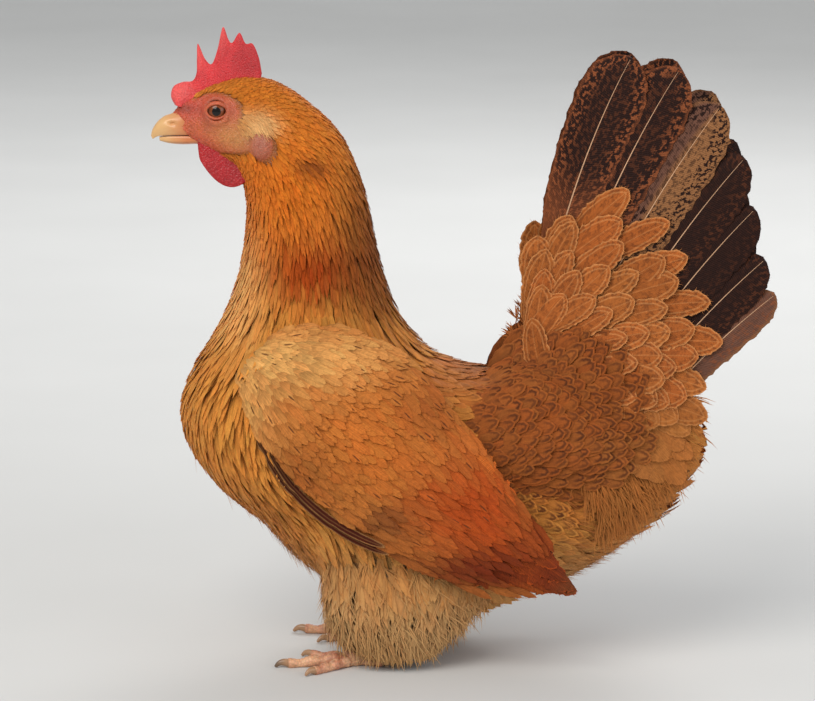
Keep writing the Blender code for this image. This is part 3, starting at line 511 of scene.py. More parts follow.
def grow(coat, surface, roots, ahead, kind, rng, length, width, rise, ground, lace, mark, bake,
         marked=0.0, tilt=0.0, bow=0.0, fray=0.08, camber=0.10, depth=0.25, patch=PATCH, root_shade=0.75,
         fringe=0.0):
    """Adds feathers laid on a surface to a coat.

    Each shaft is stepped along the surface from its root, following ahead as nearly as the surface lets it
    and turning by bow in all; each point of the vane is a small move from its shaft in the surface, raised by
    a height that grows from the root to the tip by rise, with a camber across and tilt from rim to rim. fray
    roughens the rims, depth is the thickness and fringe how far loose barbs stand out. ground is one colour
    for each feather, or for each of its points, and marked is how strongly mark shows.
    """
    count, rows = len(roots[0]), len(kind.barbs)
    length, width, marked, tilt, bow = (np.broadcast_to(np.asarray(v, float), count)
                                        for v in (length, width, marked, tilt, bow))
    low, high = (np.broadcast_to(np.asarray(v, float), count)[:, None, None] for v in rise)
    p, q = (np.array(v, float) for v in roots)
    track, frames = [], []
    for k in range(rows):
        _, along_p, along_q, normal = surface.axes(p, q)
        forward = unit(ahead - normal * dot(ahead, normal))
        aside = np.cross(forward, normal)
        swing = (bow * (kind.barbs[k] - 0.5))[:, None]
        forward, aside = (forward * np.cos(swing) + aside * np.sin(swing),
                          aside * np.cos(swing) - forward * np.sin(swing))
        track.append((p, q))
        frames.append((along_p, along_q, forward, aside))
        if k + 1 < rows:
            step = length * (kind.barbs[k + 1] - kind.barbs[k])
            moved = change(along_p, along_q, forward * step[:, None])
            p, q = p + moved[0], q + moved[1]
    p, q = (np.stack([t[i] for t in track], 1)[..., None] for i in (0, 1))
    along_p, along_q, forward, aside = (np.stack([f[i] for f in frames], 1)[:, :, None] for i in range(4))
    across, wide = kind.across, np.abs(kind.across)
    half = kind.half[None, :, None] * width[:, None, None] / 2
    ragged = 1 - fray * rng.random((count, rows, len(across))) * wide**4 * 2
    sideways = across * half * ragged
    lead = (kind.rims - kind.barbs)[:, None] * wide
    lead = lead * (1 + fray * 3 * (rng.random((count, rows, len(across))) - 0.5) * wide**4)
    move = forward * (lead * length[:, None, None])[..., None] + aside * sideways[..., None]
    moved = change(along_p, along_q, move)
    share = kind.barbs[:, None] + lead
    dome = 1 - across**2
    height = low + (high - low) * np.clip(share, 0, 1.1) ** 0.8 + tilt[:, None, None] * across
    height = height + camber * half * dome - depth * dome * (1 - kind.over)
    points = surface.raised(p + moved[0], q + moved[1], height)
    points = above(points, CLEARANCE)
    full = np.ones_like(sideways)
    seed = np.broadcast_to(rng.random(count)[:, None, None] * 90, full.shape)
    shade = root_shade + (1 - root_shade) * ease(share, 0.1, 0.55)
    vane = np.stack((sideways * full, length[:, None, None] * (1 - share), half * (1 - wide) * full), -1)
    strand = np.stack((kind.barbs[:, None] * length[:, None, None] * full, sideways, seed), -1)
    spread = np.stack((across * full, (2 * kind.barbs[:, None] - 1) * full), -1)
    patch = np.broadcast_to(np.asarray(patch, float), (count, 2))[:, None, None]
    if np.ndim(ground) < 4:
        ground = np.reshape(ground, (-1, 1, 1, 3))
    lace, mark = (np.reshape(colour, (-1, 1, 1, 3)) for colour in (lace, mark))
    strength = (marked[:, None, None] * full)[..., None]
    layers = {
        "ground": ground * (shade * full)[..., None],
        "lace": lace * full[..., None],
        "mark": np.concatenate((mark * full[..., None], strength), -1),
        "vane": vane,
        "strand": strand,
        "OFBake": bake[:, None, None] + spread * patch / 2,
    }
    coat.add(points, repeated(kind.faces, count, kind.points), **layers)
    if fringe:
        grow_hairs(coat, kind, points, layers, rng, fringe)
    return points[:, :, len(across[kind.over > 0]) // 2]


# A thin spike: three corners of its root, then its tip.
SPIKE_FACES = np.array(((2, 1, 0), (0, 1, 3), (1, 2, 3), (2, 0, 3)))


def grow_hairs(coat, kind, points, layers, rng, length):
    """Adds a loose barb at both ends of the last rows of each feather: a thin spike of three sides.

    It leaves the rim in the line of the row's last two points, turned by chance towards the tip.
    """
    rows = kind.haired[:, None]
    ends, inner = points[:, rows, kind.ends], points[:, rows, kind.ends + (1, -1)]
    tipward = unit(np.gradient(points[:, :, kind.ends], axis=1)[:, kind.haired])
    chance = rng.random(ends.shape[:3] + (3,))
    line = unit(unit(ends - inner) + tipward * (0.3 + 1.2 * chance[..., :1]) + (chance - 0.5) * 0.5)
    aside = unit(np.cross(line, tipward))
    sunk = ends - line * 0.5
    corners = [sunk + (tipward * a + aside * b) * 0.13 for a, b in ((1, 0), (-0.5, 0.8), (-0.5, -0.8))]
    tip = ends + line * (length * (0.2 + 1.1 * chance[..., 1:2] ** 2))
    spikes = np.stack((*corners, tip), -2)
    spikes = above(spikes, CLEARANCE)
    own = {}
    for label, values in layers.items():
        values = np.broadcast_to(values, points.shape[:3] + values.shape[3:])
        own[label] = np.repeat(values[:, rows, kind.ends][:, :, :, None], 4, 3)
    coat.add(spikes, repeated([SPIKE_FACES], spikes[..., 0, 0].size, 4), **own)


def blades(coat, surface, roots, ahead, rng, length, width, ground, bake, each=5, spread=0.5, lift=0.25,
           droop=0.12, start=-2.0, rows=4):
    """Adds loose down to a coat: thin three-sided blades, each of them from every root, that rise and droop.

    A blade is a straight line turned by spread and lift, bent down with the square of its length.
    """
    count = len(roots[0])
    length, width = (np.broadcast_to(np.asarray(v, float), count)[:, None] for v in (length, width))
    point, _, _, normal = surface.axes(*roots)
    forward = unit(ahead - normal * dot(ahead, normal))
    aside = np.cross(forward, normal)
    turn = (rng.random((count, each)) - 0.5) * 2 * spread
    raise_by = lift * (0.3 + 1.4 * rng.random((count, each)))
    long = length * (0.65 + 0.5 * rng.random((count, each)))
    jitter = (rng.random((count, each, 2)) - 0.5) * 2.4
    point, forward, aside, normal = (v[:, None] for v in (point, forward, aside, normal))
    up, out, rise = (v[..., None] for v in (np.cos(turn), np.sin(turn), raise_by))
    line = unit(forward * up + aside * out + normal * rise)
    base = point + normal * start + forward * jitter[..., :1] + aside * jitter[..., 1:]
    share = np.linspace(0, 1, rows)
    gone = share[None, None] * long[..., None]
    shaft = base[:, :, None] + line[:, :, None] * gone[..., None]
    shaft[..., 2] -= droop * gone**2 / np.maximum(long[..., None], 1)
    flat = unit(np.cross(line, normal))
    thin = unit(np.cross(flat, line))
    size = np.interp(share, (0, 0.35, 0.75, 1), (0.6, 1.0, 0.7, 0.06)) * width[..., None] / 2
    ring = np.array(((-1.0, 0.0), (0.0, 0.45), (1.0, 0.0)))
    points = (shaft[:, :, :, None] + flat[:, :, None, None] * (ring[:, 0] * size[..., None])[..., None]
              + thin[:, :, None, None] * (ring[:, 1] * size[..., None])[..., None])
    points = above(points, CLEARANCE)
    full = np.ones(points.shape[:-1])
    tone = (0.88 + 0.24 * rng.random((count, each)))[:, :, None, None]
    fade = (0.72 + 0.28 * ease(share, 0.0, 0.6))[None, None, :, None]
    colour = np.reshape(ground, (-1, 1, 1, 1, 3)) * (tone * fade * full)[..., None]
    zero = full * 0
    patch = np.stack((ring[:, 0] * full, (2 * share[:, None] - 1) * full), -1) * PATCH / 2
    coat.add(
        points, repeated(tube_faces(rows, 3), count * each, rows * 3),
        ground=colour, lace=colour, mark=np.concatenate((colour, zero[..., None]), -1),
        vane=np.stack((zero, gone[..., None] * full, full * 5), -1),
        strand=np.stack((gone[..., None] * full, zero, tone * 90 * full), -1),
        OFBake=bake[:, None, None, None] + patch,
    )


# Steps of a sequence of places that fills a square evenly.
EVEN_STEPS = (0.7548776662466927, 0.5698402909980532)


def sow(surface, spans, density, cells=(180, 96)):
    """Roots spread evenly over a surface, density of them to the square millimetre.

    An even sequence of places in a square is bent, first along p and then along q, by the running sums of
    area times density over a grid of cells.
    """
    edges = [np.linspace(a, b, n + 1) for (a, b), n in zip(spans, cells)]
    p, q = grid(*((e[1:] + e[:-1]) / 2 for e in edges))
    point, along_p, along_q, _ = surface.axes(p, q)
    steps = (e[1] - e[0] for e in edges)
    area = np.linalg.norm(np.cross(along_p, along_q), axis=-1) * next(steps) * next(steps)
    weight = area * density(p, q, point) + 1e-9
    first, second = (np.arange(int(weight.sum())) * step % 1 for step in EVEN_STEPS)
    along_rows, along_columns = (np.arange(n + 1.0) for n in cells)
    rows = np.concatenate(([0], np.cumsum(weight.sum(1)))) / weight.sum()
    place = np.interp(first, rows, along_rows)
    row = np.minimum(place.astype(int), cells[0] - 1)
    inside = np.concatenate((np.zeros((cells[0], 1)), np.cumsum(weight, 1) / weight.sum(1, keepdims=True)), 1)
    inside += np.arange(cells[0])[:, None]
    second = row + np.clip(second, 1e-6, 1 - 1e-6)
    column = np.interp(second, inside.ravel(), np.tile(along_columns, cells[0]))
    return np.interp(place, along_rows, edges[0]), np.interp(column, along_columns, edges[1])


def painted(x, z, base, strokes):
    """A colour at each place in side view: soft oval strokes laid over a base colour in turn.

    A stroke is x, z, reach along x, reach along z, colour name and strength.
    """
    colour = np.broadcast_to(COLOURS[base], np.shape(x) + (3,)).copy()
    for at_x, at_z, wide, high, name, strength in strokes:
        far = ((x - at_x) / wide) ** 2 + ((z - at_z) / high) ** 2
        share = (strength * np.exp(-far**1.15))[..., None]
        colour = colour * (1 - share) + COLOURS[name] * share
    return colour


# Strokes of colour, as painted() takes them.
BODY_STROKES = (
    (-100.0, 270.0, 26.0, 20.0, "crown", 1.0),
    (-76.0, 266.0, 26.0, 20.0, "crown", 0.7),
    (-84.0, 232.0, 34.0, 32.0, "hackle", 1.0),
    (-74.0, 196.0, 32.0, 16.0, "hackle_deep", 1.0),
    (-102.0, 222.0, 12.0, 24.0, "hackle", 0.7),
    (-49.0, 206.0, 13.0, 36.0, "hackle_brown", 0.75),
    (-36.0, 180.0, 16.0, 16.0, "hackle_brown", 0.5),
    (-110.0, 184.0, 13.0, 28.0, "neck_buff", 1.0),
    (-75.0, 243.0, 8.0, 4.5, "hackle_brown", 0.95),
    (-128.0, 124.0, 26.0, 40.0, "breast", 0.9),
    (-104.0, 76.0, 34.0, 26.0, "breast_deep", 0.5),
    (0.0, 142.0, 34.0, 14.0, "back", 0.9),
    (34.0, 112.0, 42.0, 34.0, "saddle", 0.9),
    (84.0, 84.0, 34.0, 34.0, "rear", 0.9),
    (-40.0, 34.0, 50.0, 30.0, "fluff", 1.0),
    (34.0, 40.0, 40.0, 24.0, "rear_pale", 0.8),
    (-99.5, 260.5, 9.0, 6.5, "ear_cream", 1.0),
)
WING_STROKES = (
    (-86.0, 150.0, 34.0, 16.0, "bow_pale", 0.95),
    (-96.0, 124.0, 14.0, 18.0, "bow_pale", 0.7),
    (-50.0, 150.0, 26.0, 10.0, "bow_pale", 0.6),
    (-40.0, 112.0, 34.0, 26.0, "wing_orange", 0.9),
    (-72.0, 100.0, 20.0, 14.0, "wing_brown", 0.55),
    (-14.0, 124.0, 18.0, 14.0, "saddle", 0.7),
    (-34.0, 78.0, 12.0, 9.0, "wing_dark", 0.7),
    # The next two strokes lay a dark streak along the wing's upper rear edge: partly dark feathers, partly
    # painted shadow behind the wing's edge.
    (40.0, 84.0, 5.0, 14.0, "wing_dark", 0.8),
    (46.0, 62.0, 6.0, 16.0, "wing_dark", 0.7),
    (4.0, 84.0, 28.0, 22.0, "wing_rust", 0.95),
    (24.0, 66.0, 26.0, 20.0, "wing_rust", 0.85),
    (12.0, 54.0, 34.0, 10.0, "wing_deep", 0.9),
    (44.0, 52.0, 16.0, 14.0, "wing_deep", 0.85),
    (52.0, 44.0, 10.0, 8.0, "wing_dark", 0.8),
    # Dark blotch under the wing's upper rear edge: partly dark feathers, partly painted shadow.
    (34.0, 80.0, 12.0, 14.0, "wing_brown", 0.6),
)


def varied(colours, rng, amount=0.10, warmth=0.05):
    """Each colour a little lighter or darker, and a little redder or yellower."""
    count = len(colours)
    tone = 1 + amount * (rng.random((count, 1)) * 2 - 1)
    warm = 1 + warmth * (rng.random((count, 1)) * 2 - 1) * np.array((0.3, -1.0, -1.5))
    return np.clip(colours * tone * warm, 0.0, 1.0)


# Sizes of the body's feathers at slices t, how deep the skin lies under them, and how many lie over a point.
BODY_SIZES = {
    "t": (0.0, 2.0, 4.0, 5.5, 7.0, 9.0, 12.0, 16.0, 22.0),
    "length": (2.6, 3.6, 6.5, 12.0, 18.0, 23.0, 21.0, 20.0, 19.0),
    "width": (1.4, 1.8, 2.6, 3.5, 4.0, 4.8, 5.8, 7.0, 5.0),
    "depth": (0.5, 0.8, 1.3, 2.0, 2.6, 3.0, 3.4, 4.0, 4.0),
    "layers": (6.5, 6.5, 6.0, 5.0, 4.5, 4.6, 5.1, 4.3, 3.8),
}


def body_size(name, t, turn=0.0):
    """A size of the feathers at a place of the body: those of the neck and the breast are narrower."""
    slim = ease(t, 4.0, 6.0) * np.where(np.abs(turn) > BACK_TURN, t < BREAST_END, t < CAPE_END)
    return np.interp(t, BODY_SIZES["t"], BODY_SIZES[name]) * (1 - 0.36 * slim * (name == "width"))


def bare(x, z):
    """1 on the bare face, from the beak past the eye to the ear, and 0 on the feathered head."""
    around_eye = 1 - ease(np.hypot((x + 119.5) / 12.5, (z - 265.5) / 9.5), 0.85, 1.15)
    cheek = 1 - ease(np.hypot((x + 115.0) / 17.0, (z - 254.5) / 8.5), 0.85, 1.15)
    lores = 1 - ease(np.hypot((x + 134.0) / 9.0, (z - 263.0) / 10.0), 0.85, 1.15)
    lobe = 1 - ease(np.hypot((x - EAR_LOBE[0]) / 6.0, (z - EAR_LOBE[1]) / 7.6), 0.85, 1.15)
    return np.maximum.reduce((around_eye, cheek, lores, lobe))


def wing_shares(x, z):
    """How far along the folded wing a place in side view is, and how far from its upper and lower edge."""
    start, end = np.array(WING_AXIS[0]), np.array(WING_AXIS[1])
    line = (end - start) / np.linalg.norm(end - start)
    share = ((x - start[0]) * line[0] + (z - start[1]) * line[1]) / np.linalg.norm(end - start)
    rise = -(x - start[0]) * line[1] + (z - start[1]) * line[0]
    return share, np.interp(share, WING_AT, WING_UP) - rise, rise + np.interp(share, WING_AT, WING_DOWN)


def under_wing(x, z):
    """1 well inside the outline of the folded wing, where the body needs no feathers."""
    share, below_top, above_low = wing_shares(x, z)
    return ((share > 0.12) & (share < 0.9) & (below_top > 14) & (above_low > 26)).astype(float)


def before_wing(x, z):
    """1 just outside the front of the folded wing, where the body's feathers lie over its edge."""
    share, below_top, above_low = wing_shares(x, z)
    off = np.minimum(below_top, above_low)
    near = np.where(share < 0, np.hypot(share * WING_LENGTH, np.minimum(off - 9.0, 0.0)), np.abs(off + 3.0))
    return (1 - ease(near, 6.0, 16.0)) * (1 - ease(share, 0.14, 0.30))


def in_map(u, v, margin=0.03):
    """Places in a piece's map from shares of its width and height, with a margin left round it."""
    return np.stack((u, v), -1) * (1 - 2 * margin) + margin


def body_bake(t, turn):
    """The unwrap of the body's skin: once round it is the map's width, and its length the map's height."""
    return in_map((turn / TURN) % 1.0, t / BODY_END, 0.01)


def side_on(turn):
    """Directions in side view at turns from the rear, level, upwards."""
    return np.stack((np.cos(turn), np.zeros_like(turn), np.sin(turn)), -1)


# Regions of the body's coat: kind of feather, finish, and how far its loose barbs stand out.
BODY_REGIONS = {
    "coat_head": (TINY, "body", 0.7),
    "coat_neck": (STRAND, "body", 1.0),
    "coat_back": (SMALL, "saddle", 1.2),
    "coat_breast": (STRAND, "body", 1.2),
    "coat_rear": (SMALL, "saddle", 2.2),
}


def make_body_coat(finishes, rng):
    """Feathers over head, neck and torso, laid from the beak backwards, in pieces of one region each."""

    def density(t, turn, point):
        size = body_size("length", t) * body_size("width", t, turn) * 0.7
        x, z = point[..., 0], point[..., 2]
        covered = under_wing(x, z) * (np.abs(point[..., 1]) > 12)
        return body_size("layers", t) / size * (1 - covered) * (1 - bare(x, z)) * (t > 0.25)

    t, turn = sow(BODY_SURFACE, ((0.0, BODY_END - 0.3), (-math.pi, math.pi)), density)
    point, ahead, _, _ = BODY_SURFACE.axes(t, turn)
    keep = bare(point[:, 0], point[:, 2]) < 0.4
    t, turn, point, ahead = t[keep], turn[keep], point[keep], unit(ahead[keep])
    x, z = point[:, 0], point[:, 2]
    rear = ease(t, 13.0, 17.0) * ease(np.abs(turn), 0.3, 1.0)
    ahead = unit(ahead + np.array((0.2, 0.0, -0.55)) * rear[:, None])
    flank = ease(x, -86.0, -70.0) * (1 - ease(x, 4.0, 20.0)) * (1 - ease(z, 74.0, 92.0))
    flank = flank * ease(np.abs(point[:, 1]), 18, 28)
    ahead = unit(ahead + np.array((0.0, 0.0, -1.0)) * flank[:, None])
    ahead = unit(ahead + (rng.random(ahead.shape) - 0.5) * 0.26)
    torso, back = t >= CAPE_END, np.abs(turn) < BACK_TURN
    places = {
        "coat_head": t < HEAD_END,
        "coat_neck": (t >= HEAD_END) & ~torso,
        "coat_back": torso & back,
        "coat_breast": torso & (t < BREAST_END) & ~back,
        "coat_rear": (t >= BREAST_END) & ~back,
    }
    rim = 1.14 - 0.55 * ease(x, -78.0, -54.0) * ease(t, 5.0, 6.5) * (1 - ease(t, 10.0, 12.0))
    saddle = ease(x, -26.0, 0.0) * (1 - ease(x, 66.0, 92.0)) * ease(z, 58.0, 84.0)
    for name, (kind, finish, fringe) in BODY_REGIONS.items():
        at = places[name]
        coat = Coat()
        count = int(at.sum())
        shown = point[at] + ahead[at] * 0.55 * body_size("length", t[at])[:, None]
        ground = varied(painted(shown[:, 0], shown[:, 2], "breast", BODY_STROKES), rng, 0.12, 0.07)
        size = 0.85 + 0.3 * rng.random(count)
        depth = body_size("depth", t[at])
        loose = 7.0 * ease(x[at], 56.0, 92.0) * rng.random(count) ** 2 + 5.0 * before_wing(x[at], z[at])
        loose = loose + 5.0 * flank[at] * rng.random(count)
        grow(
            coat, BODY_SURFACE, (t[at], turn[at]), ahead[at], kind, rng, body_size("length", t[at]) * size,
            body_size("width", t[at], turn[at]) * size,
            (-depth, depth * 0.05 + 0.4 * rng.random(count) + loose), ground, ground * rim[at, None],
            COLOURS["dark"], body_bake(t[at], turn[at]), marked=saddle[at] * (0.5 + 0.5 * rng.random(count)),
            fray=0.14, bow=0.3 * (rng.random(count) - 0.5), fringe=fringe,
        )
        coat.make(name, finishes[finish])


def make_down(finishes, rng):
    """Loose down on the rear and the belly."""

    def density(t, turn, point):
        rear = ease(t, 15.0, 18.0) * ease(np.abs(turn), 0.9, 1.5) * ease(point[..., 0], 30.0, 70.0)
        belly = ease(t, 12.5, 14.0) * ease(np.abs(turn), 2.2, 2.7)
        return 0.03 * np.maximum(rear, belly) + 0.02 * ease(t, 17.6, 18.6)

    t, turn = sow(BODY_SURFACE, ((12.0, BODY_END - 0.15), (-math.pi, math.pi)), density)
    point, ahead, _, _ = BODY_SURFACE.axes(t, turn)
    low = ease(np.abs(turn), 1.4, 2.8)[:, None]
    ahead = unit(unit(ahead) + np.array((0.5, 0.0, -0.5)) * (1 - 0.4 * low))
    coat = Coat()
    ground = varied(painted(point[:, 0], point[:, 2], "rear", BODY_STROKES), rng)
    blades(coat, BODY_SURFACE, (t, turn), ahead, rng, 13.0, 0.6, ground, body_bake(t, turn), lift=0.2)
    coat.make("down_body", finishes["down"])


# Layers of the thigh: kind, span of its slices, density, greatest length, width, blades of down to a root.
THIGH_LAYERS = (
    (FLUFF, (0.2, 4.7), 0.05, 14.0, 3.6, 6),
    (LONG, (0.0, 0.8), 0.06, 22.0, 6.0, 0),
)
THIGH_STROKES = (
    (-30.0, 72.0, 60.0, 22.0, "breast_deep", 0.6),
    (-10.0, 24.0, 40.0, 26.0, "fluff_pale", 0.7),
    (-64.0, 30.0, 14.0, 24.0, "fluff_pale", 0.6),
)


def make_thigh_coat(label, side, finishes, rng):
    """Short soft plumes with loose down between them, and longer feathers over the thigh's top."""
    thigh = thigh_surface(side, FOOT_SET_BACK[label])
    coat = Coat()
    for kind, span, density, most, width, each in THIGH_LAYERS:
        h, turn = sow(thigh, (span, (0.0, TURN)), lambda h, turn, point: density + 0 * h, cells=(40, 60))
        count = len(h)
        point = thigh.place(h, turn)
        ahead = unit(np.array((0.25, 0.0, -1.0)) + (rng.random((count, 3)) - 0.5) * 0.7)
        high = point[:, 2] + 8.0 * rng.random(count)
        ground = varied(painted(point[:, 0], high, "fluff", THIGH_STROKES), rng)
        bake = in_map(turn / TURN, h / (len(THIGH) - 1), 0.01)
        length = np.clip(1.1 * (point[:, 2] - 3.0), 3.0, most) * (0.8 + 0.4 * rng.random(count))
        grow(
            coat, thigh, (h, turn), ahead, kind, rng, length, width, (-2.6, 0.3 + rng.random(count)),
            ground, ground * 1.08, COLOURS["fluff"], bake, fray=0.25, bow=0.8 * (rng.random(count) - 0.5),
            fringe=2.8, root_shade=0.9,
        )
        if each:
            blades(coat, thigh, (h, turn), ahead, rng, length, 0.55, ground, bake, each=each, spread=0.6,
                   lift=0.14, droop=0.05, start=-1.0)
    coat.make("down_thigh_" + label, finishes["down"])


def thigh_surface(side, back):
    """The feathered thigh: level ellipses from the table, p from the top down, q once round."""

    def place(h, turn):
        row = along(THIGH, h)
        x = row[..., 1] + back + row[..., 2] * np.cos(turn)
        return np.stack((x, side * LEG_Y + row[..., 3] * np.sin(turn), np.maximum(row[..., 0], 0.0)), -1)

    return Surface(place, (0.02, 0.02))


def make_skin(finish):
    """One skin for head, neck, torso and thighs, lowered from their slices by the coat's depth.

    On the face it is lowered less, dips in round the eye, and rises in the ring round it and in the ear lobe.
    """
    t = np.concatenate((np.linspace(0, HEAD_END, 170)[:-1], np.linspace(HEAD_END, BODY_END, 110)))
    t, turn = grid(t, turns(180))
    point = body_place(t, turn)
    x, z = point[..., 0], point[..., 2]
    far = np.hypot(x - EYE[0], z - EYE[2])
    face = bare(x, z)
    height = -body_size("depth", t) * (1 - face) - 0.5 * face
    height += 1.5 * np.exp(-(((far - 5.4) / 1.7) ** 2)) * face
    height -= 4.0 * (1 - ease(far, 3.4, 4.6))
    lobe = np.hypot((x - EAR_LOBE[0]) / 4.8, (z - EAR_LOBE[1]) / 6.6)
    height += 2.1 * np.sqrt(np.clip(1 - lobe**2, 0, 1))
    height += 0.18 * np.sin(x * 2.1 + 1.5 * np.sin(z * 1.3)) * np.sin(z * 2.4) * face * ease(far, 5.0, 8.0)
    points = BODY_SURFACE.raised(t, turn, height)
    faces = tube_faces(*t.shape)
    # Where feathers cover it, the skin takes the plumage's colour darkened to 0.55: painted shade for the gaps
    # between feathers.
    ground = painted(x, z, "breast", BODY_STROKES) * 0.55
    skin = painted(x, z, "face", FACE_STROKES)
    ground = ground * (1 - face[..., None]) + skin * face[..., None]
    points, ground = [points.reshape(-1, 3)], [ground.reshape(-1, 3)]
    count = t.size
    h, turn = grid(np.linspace(0, len(THIGH) - 1, 30), turns(48))
    for label, side in SIDES.items():
        thigh = thigh_surface(side, FOOT_SET_BACK[label])
        points.append(above(thigh.raised(h, turn, np.full(h.shape, -3.5)), 3.5).reshape(-1, 3))
        # The thigh's skin takes the fluff's colour darkened to 0.7: painted shade for the gaps between its
        # feathers.
        ground.append(painted(points[-1][:, 0], points[-1][:, 2], "fluff", THIGH_STROKES) * 0.7)
        faces += [f + count for f in tube_faces(*h.shape)]
        count += h.size
    put_mesh("skin", np.concatenate(points), faces, finish,
             {"ground": np.concatenate(ground)},
             replaces=("torso", "neck", "head", "thigh_left", "thigh_right"))


FACE_STROKES = (
    (-132.0, 269.0, 9.0, 7.0, "face_red", 0.8),
    (-118.5, 266.5, 9.0, 7.5, "eye_ring", 0.55),
    # A thin dark line under the comb's overhanging front, above the bill's base: painted shadow.
    (-135.0, 267.2, 7.0, 2.2, "eye_ring", 0.8),
    (-126.0, 250.0, 11.0, 5.0, "face_red", 0.6),
    (-108.0, 254.5, 13.0, 7.5, "cheek", 0.95),
    (-97.8, 251.5, 6.0, 8.0, "lobe", 1.0),
)


def ear_tuft(point):
    """1 over the tuft of fine feathers above the ear lobe."""
    near = np.hypot((point[..., 0] + 101.0) / 7.5, (point[..., 2] - 261.0) / 4.6)
    return (1 - ease(near, 0.8, 1.1)) * (np.abs(point[..., 1]) > 5)


def make_bristles(finish, rng):
    """Tiny hair-like feathers, far apart, over the bare face, and a tuft of cream ones over the ear lobe."""
    t, turn = sow(BODY_SURFACE, ((0.1, HEAD_END), (-math.pi, math.pi)),
                  lambda t, turn, point: 0.9 * bare(point[..., 0], point[..., 2]))
    point, ahead, _, _ = BODY_SURFACE.axes(t, turn)
    keep = np.hypot(point[:, 0] - EYE[0], point[:, 2] - EYE[2]) > 7.0
    t, turn, point, ahead = t[keep], turn[keep], point[keep], ahead[keep]
    ground = varied(painted(point[:, 0], point[:, 2], "crown", FACE_STROKES), rng, 0.2)
    coat = Coat()
    blades(coat, BODY_SURFACE, (t, turn), ahead, rng, 1.7, 0.2, ground, body_bake(t, turn), each=1, lift=0.3,
           droop=0.0, start=-0.7, rows=3)
    t, turn = sow(BODY_SURFACE, ((2.0, HEAD_END + 0.6), (-math.pi, math.pi)),
                  lambda t, turn, point: ear_tuft(point))
    point, ahead, _, _ = BODY_SURFACE.axes(t, turn)
    ahead = unit(unit(ahead) + (0.0, 0.0, -0.5))
    ground = varied(painted(point[:, 0], point[:, 2], "crown", BODY_STROKES[-1:]), rng, 0.12)
    blades(coat, BODY_SURFACE, (t, turn), ahead, rng, 5.0, 0.3, ground, body_bake(t, turn), each=4, lift=0.16,
           droop=0.0, start=0.3, rows=3, spread=0.3)
    coat.make("face_bristles", finish)


# Small and middling wing coverts: size at shares of the wing's length.
WING_SIZES = {
    "share": (0.0, 0.10, 0.20, 0.32, 0.46, 0.70, 0.95),
    "length": (9.0, 12.0, 15.0, 19.0, 23.0, 24.0, 16.0),
    "width": (4.2, 4.8, 5.4, 6.0, 6.2, 5.6, 4.4),
}
# Share and across of the secondaries' tips, from the upper edge round the wing's tip to the lower edge.
SECONDARY_TIPS = np.array([
    (0.66, 0.93), (0.74, 0.90), (0.81, 0.84), (0.87, 0.74), (0.92, 0.60),
    (0.96, 0.42), (0.99, 0.20), (1.0, -0.05), (0.995, -0.30), (0.975, -0.50),
    (0.94, -0.64), (0.90, -0.73), (0.85, -0.80), (0.79, -0.86), (0.72, -0.90),
])
# The primaries that show as narrow lines along the lower edge: share and across of root and tip, and height.
PRIMARIES = np.array([
    (0.14, -0.80, 0.54, -0.90, 2.6),
    (0.115, -0.94, 0.56, -0.98, 1.7),
])
# Heights in the flight feathers' map: the primaries' band, the secondaries' band, and where that starts.
PRIMARY_BAND = 0.3
SECONDARY_BAND = 0.6
SECONDARY_LOW = 0.35


def wing_surface(relief, side):
    """The folded wing as a surface over its own share and across."""

    def place(share, across):
        spot = wing_spot(share, across)
        return np.stack((spot[..., 0], side * relief(spot[..., 0], spot[..., 1]), spot[..., 1]), -1)

    return Surface(place, (0.01, 0.03), -side)


def dome(share, across):
    """How high the small coverts stand over the wing's surface: most near the shoulder, none at the rim."""
    front = ease(share, -0.04, 0.22)
    rear = 3.4 * ease(share, 0.25, 0.55) * (1 - 0.5 * ease(share, 0.8, 1.0))
    return (6.0 * (1 - ease(share, 0.16, 0.60)) * front + rear) * (1 - 0.75 * np.abs(across) ** 4)


def cells(count):
    """Centres and sizes of equal cells side by side in the map, one for each large feather."""
    across = int(math.ceil(math.sqrt(count * 3)))
    down = int(math.ceil(count / across))
    i = np.arange(count)
    centres = np.stack(((i % across + 0.5) / across, (i // across + 0.5) / down), -1)
    return centres, np.array((0.9 / across, 0.9 / down))


def make_wing(label, side, relief, finishes, rng):
    """The folded wing: a bed, primaries along its lower edge, secondaries, and the coverts in two pieces."""
    surface = wing_surface(relief, side)
    hand = -side
    make_wing_bed(label, surface, finishes["bed"])
    flights = Coat()
    lay_primaries(flights, surface, hand, rng)
    lay_secondaries(flights, surface, hand, rng)
    flights.make("wing_flights_" + label, finishes["flight"], ("wing_" + label,))
    for piece, low_share, high_share in (("wing_bow_", 0.0, 0.36), ("wing_coverts_", 0.36, 0.84)):
        coverts = Coat()
        lay_wing_coverts(coverts, surface, low_share, high_share, rng)
        coverts.make(piece + label, finishes["wing"], ("wing_" + label,))


def make_wing_bed(label, surface, finish):
    """A closed pad under the wing's feathers, domed at the shoulder and thin at its rim."""
    share, across = grid(np.linspace(0.035, 0.9, 44), np.linspace(-0.89, 0.9, 30))
    rim = np.minimum(ease(1 - np.abs(across), 0.07, 0.3), ease(share, 0.02, 0.1))
    top = surface.raised(share, across, dome(share, across) * 0.8 - 2.0 - 2.0 * (1 - rim))
    low = surface.raised(share, across, np.full(share.shape, -5.0))
    # The bed takes the wing's colours darkened to 0.6: painted shade for the gaps between the feathers.
    ground = painted(top[..., 0], top[..., 2], "wing_brown", WING_STROKES) * 0.6
    put_shell("wing_bed_" + label, top, low, finish, -surface.side, ground)


